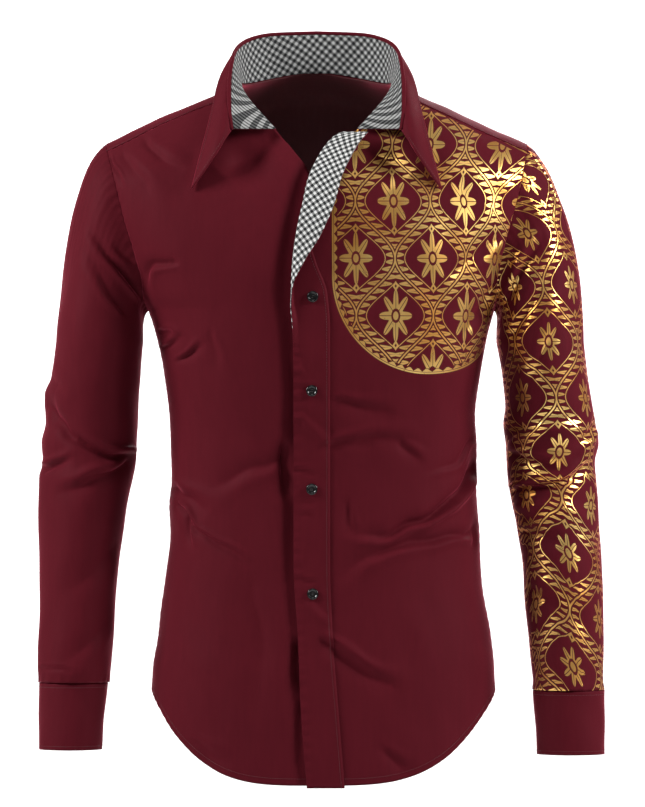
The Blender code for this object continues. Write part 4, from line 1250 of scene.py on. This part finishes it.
# Cuffs
# Barrel cuffs of doubled, interlined poplin, sewn to the sleeves' lower edges. Each laps over
# itself at the outer back, is topstitched round its edges and closes with one button.
CUFF_OVERLAP = 40.0  # degrees
CUFF_LIFT = 0.0024
CUFF_START = 0.62  # where round the wrist it starts, in whole turns
CUFF_CLOTH = 0.0014
CUFF_STITCH = 0.004
CUFF_MIDDLE = (17, 75)  # row and column
CUFF_BUTTON = (17, -11)
CUFFS = {
    "right": Table(
        "height inner outer middle depth",
        (-0.6840, 0.2220, 0.2870, -0.0310, 0.0380),
        (-0.6500, 0.2200, 0.2880, -0.0265, 0.0395),
        (-0.6154, 0.2165, 0.2880, -0.0225, 0.0415),
    ),
    "left": Table(
        "height inner outer middle depth",
        (-0.6890, 0.2285, 0.2985, -0.0310, 0.0380),
        (-0.6560, 0.2265, 0.2990, -0.0265, 0.0395),
        (-0.6233, 0.2245, 0.2990, -0.0225, 0.0415),
    ),
}


def cuff_grid(name, side, columns=150, rows=34):
    """A strip round the wrist whose end laps over its start, at the outer back."""
    table = CUFFS[name]
    turns = np.linspace(0, 1 + CUFF_OVERLAP / 360, columns + 1)
    lift = CUFF_LIFT * np.clip((turns - 0.90) / 0.10, 0, 1) ** 2
    rings = []
    for height in np.linspace(table.keys[-1], table.keys[0], rows + 1):
        ring = sleeve_ring(table, side, height, turns + CUFF_START)
        middle = (ring.max(axis=0) + ring.min(axis=0)) / 2
        rings.append(ring + unit(ring - middle) * lift[:, None])
    return np.array(rings)


cuff_seats = {}
for name, side in (("right", -1), ("left", 1)):
    cuff = cuff_grid(name, side)
    cuff_normals = normals_of(cuff, inside=ring_middles(cuff))
    cuff = cuff + cuff_normals * (0.0005 * swells(cuff, 0.05, 21))[..., None]
    cuff = cuff + cuff_normals * puckers(cuff, "bottom top", 0.00012, 0.012, 0.007)
    cuff_piece = sew(
        "cuff_" + name + "_band", cuff, cuff_normals, [POPLIN], "cuff_" + name,
        cut_layout(cuff, CUFF_MIDDLE[1], CUFF_MIDDLE[0]), thick=CUFF_CLOTH,
    )
    tube = "sleeve_" + name + "_tube"
    cuff_seats[name] = cuff[CUFF_BUTTON], cuff_normals[CUFF_BUTTON]
    for edge, ends in (("top", slice(2, -2)), ("bottom", slice(2, -2)), ("end", slice(3, -3))):
        SEWN_LINES.append(line_inside(cuff, cuff_normals, edge, CUFF_STITCH)[ends])

# Buttons
# Six turned black buttons of 12 mm with a raised rim and four holes. Four close the placket and
# one each cuff, sewn on with dark thread through both pairs of holes.
BUTTON_RADIUS = 0.0058
BUTTON_THICK = 0.0022
BUTTON_X = -0.0047  # the line of buttons down the placket
BUTTON_HEIGHTS = (-0.2163, -0.3115, -0.4150, -0.5210)
HOLE_OUT = 0.00098994  # each hole's place, aside and up from the middle
HOLE_RADIUS = 0.00065
BUTTON_GAP = 0.0003
THREAD_OUT = 0.001
THREAD_HEIGHT = 0.69  # share of the button's thickness
BUTTON_THREADS = []


def make_button_finish():
    finish, shader = new_finish("black_button")
    black = colour_mix(noise_field(300.0, 2.0), (0.002, 0.002, 0.002), (0.004, 0.0036, 0.0036))
    give(shader, Base_Color=black, Roughness=0.16)
    add_bump(shader, noise_field(700.0, 2.0), 0.00003, 0.1)
    return finish


BUTTON_FINISH = make_button_finish()


def lathe(profile, sides, place):
    """A turned solid from a (radius, height) profile, as mesh data in the given frame."""
    shape = bmesh.new()
    rings = []
    for radius, height in profile:
        ring = []
        for step in range(sides):
            turn = 2 * math.pi * step / sides
            at = place(radius * math.cos(turn), radius * math.sin(turn), height)
            ring.append(shape.verts.new(at))
        rings.append(ring)
    for lower, upper in zip(rings, rings[1:]):
        for step in range(sides):
            beside = (step + 1) % sides
            shape.faces.new([lower[step], lower[beside], upper[beside], upper[step]])
    shape.faces.new(rings[0][::-1])
    shape.faces.new(rings[-1])
    bmesh.ops.recalc_face_normals(shape, faces=shape.faces)
    mesh = bpy.data.meshes.new("turned")
    shape.to_mesh(mesh)
    shape.free()
    return mesh


def make_real(piece):
    """Give the piece the mesh that its modifiers make, without them."""
    graph = bpy.context.evaluated_depsgraph_get()
    mesh = bpy.data.meshes.new_from_object(piece.evaluated_get(graph))
    piece.modifiers.clear()
    piece.data = mesh
    return mesh


def make_button(name, node, centre, normal):
    """A turned button with four holes, seated here and facing this way, and its thread's ends."""
    normal = unit(normal)
    first = unit(np.cross(normal, (0, 0, 1)))
    second = np.cross(normal, first)

    def place(aside, up, out):
        return tuple(centre + first * aside + second * up + normal * out)

    thick, radius = BUTTON_THICK, BUTTON_RADIUS
    profile = (
        (0.80 * radius, 0.0), (0.93 * radius, 0.0002), (radius, 0.35 * thick), (radius, 0.66 * thick),
        (0.975 * radius, 0.84 * thick), (0.92 * radius, 0.95 * thick), (0.84 * radius, thick),
        (0.76 * radius, 0.98 * thick), (0.69 * radius, 0.88 * thick), (0.63 * radius, 0.74 * thick),
        (0.56 * radius, 0.67 * thick), (0.30 * radius, 0.65 * thick),
    )
    disc = add_object(name, lathe(profile, 48, place))
    holes = []
    for aside, up in ((1, 1), (1, -1), (-1, 1), (-1, -1)):
        hole_at = (aside * HOLE_OUT, up * HOLE_OUT)
        shape = lathe(
            ((HOLE_RADIUS, -0.0005), (HOLE_RADIUS, 2 * thick)), 16,
            lambda a, u, h, at=hole_at: place(at[0] + a, at[1] + u, h),
        )
        cutter = add_object("hole", shape)
        cut = disc.modifiers.new("hole", "BOOLEAN")
        cut.operation = "DIFFERENCE"
        cut.solver = "EXACT"
        cut.object = cutter
        holes.append(cutter)
    turned = make_real(disc)
    for cutter in holes:
        bpy.data.objects.remove(cutter)
    turned.materials.clear()
    turned.materials.append(BUTTON_FINISH)
    turned.shade_smooth()
    turned.set_sharp_from_angle(angle=math.radians(40))
    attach(disc, "root")
    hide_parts(node)
    for up in (-THREAD_OUT, THREAD_OUT):
        ends = [place(aside, up, THREAD_HEIGHT * thick) for aside in (-THREAD_OUT, THREAD_OUT)]
        BUTTON_THREADS.append(ends)


for number, height in enumerate(BUTTON_HEIGHTS, 1):
    row = np.argmin(np.abs(placket_heights - height))
    column = np.argmin(np.abs(placket[row, : FLAT_COLUMNS + 1, 0] - BUTTON_X))
    seat, normal = placket[row, column], placket_normals[row, column]
    make_button(f"button_front_{number}", f"button_{number}", seat + normal * BUTTON_GAP, normal)
for name, (seat, normal) in cuff_seats.items():
    make_button("button_cuff_" + name, "cuff_button_" + name, seat + normal * BUTTON_GAP, normal)

# Thread
# Burgundy polyester thread in short, slightly sunk stitches along every topstitched line, and
# thicker dark strands that hold the buttons.
def stitch_tree():
    """Stitches along every line: pitch, length and thickness are its named inputs."""
    tree = bpy.data.node_groups.new("stitches", "GeometryNodeTree")
    tree.interface.new_socket("Line", in_out="INPUT", socket_type="NodeSocketGeometry")
    for name in ("Pitch", "Stitch length", "Thickness"):
        tree.interface.new_socket(name, in_out="INPUT", socket_type="NodeSocketFloat")
    tree.interface.new_socket("Thread", in_out="INPUT", socket_type="NodeSocketMaterial")
    tree.interface.new_socket("Stitches", in_out="OUTPUT", socket_type="NodeSocketGeometry")
    new = tree.nodes.new
    given, result = new("NodeGroupInput"), new("NodeGroupOutput")
    curve = new("GeometryNodeMeshToCurve")
    spaced = new("GeometryNodeResampleCurve")
    spaced.mode = "LENGTH"
    way = new("GeometryNodeInputTangent")
    turn = new("FunctionNodeAlignRotationToVector")
    turn.axis = "Z"
    bead = new("GeometryNodeMeshUVSphere")
    bead.inputs["Segments"].default_value = 6
    bead.inputs["Rings"].default_value = 3
    bead.inputs["Radius"].default_value = 1.0
    scale = new("ShaderNodeCombineXYZ")
    copies = new("GeometryNodeInstanceOnPoints")
    real = new("GeometryNodeRealizeInstances")
    finish = new("GeometryNodeSetMaterial")
    for source, output, target, socket in (
        (given, "Line", curve, "Mesh"),
        (curve, "Curve", spaced, "Curve"),
        (given, "Pitch", spaced, "Length"),
        (way, "Tangent", turn, "Vector"),
        (given, "Thickness", scale, "X"),
        (given, "Thickness", scale, "Y"),
        (given, "Stitch length", scale, "Z"),
        (spaced, "Curve", copies, "Points"),
        (bead, "Mesh", copies, "Instance"),
        (turn, "Rotation", copies, "Rotation"),
        (scale, "Vector", copies, "Scale"),
        (copies, "Instances", real, "Geometry"),
        (real, "Geometry", finish, "Geometry"),
        (given, "Thread", finish, "Material"),
        (finish, "Geometry", result, "Stitches"),
    ):
        tree.links.new(source.outputs[output], target.inputs[socket])
    return tree


def make_thread_finish(name, dark, light):
    finish, shader = new_finish(name)
    colour = colour_mix(noise_field(800.0, 1.0), dark, light)
    give(shader, Base_Color=colour, Roughness=0.5, Sheen_Weight=0.2)
    return finish


STITCHES = stitch_tree()


def sew_lines(name, lines, finish, pitch, length, thickness):
    """Stitches along all these lines, as one piece."""
    points = np.concatenate(lines)
    edges, first = [], 0
    for line in lines:
        edges.extend((first + step, first + step + 1) for step in range(len(line) - 1))
        first += len(line)
    mesh = bpy.data.meshes.new(name)
    mesh.from_pydata([tuple(point) for point in points], edges, [])
    thread = add_object(name, mesh)
    made = thread.modifiers.new("stitches", "NODES")
    made.node_group = STITCHES
    sockets = {item.name: item.identifier for item in STITCHES.interface.items_tree}
    made[sockets["Pitch"]] = pitch
    made[sockets["Stitch length"]] = length / 2
    made[sockets["Thickness"]] = thickness / 2
    made[sockets["Thread"]] = finish
    make_real(thread).shade_smooth()
    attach(thread, "root")


BURGUNDY_THREAD = make_thread_finish(
    "burgundy_thread", (0.040, 0.004, 0.007), (0.085, 0.008, 0.014)
)
DARK_THREAD = make_thread_finish("dark_thread", (0.010, 0.008, 0.009), (0.04, 0.03, 0.03))
sew_lines(
    "topstitching", SEWN_LINES, BURGUNDY_THREAD,
    pitch=0.0028, length=0.0021, thickness=0.00034,
)
sew_lines(
    "button_thread", BUTTON_THREADS, DARK_THREAD,
    pitch=0.00099, length=0.0013, thickness=0.0005,
)
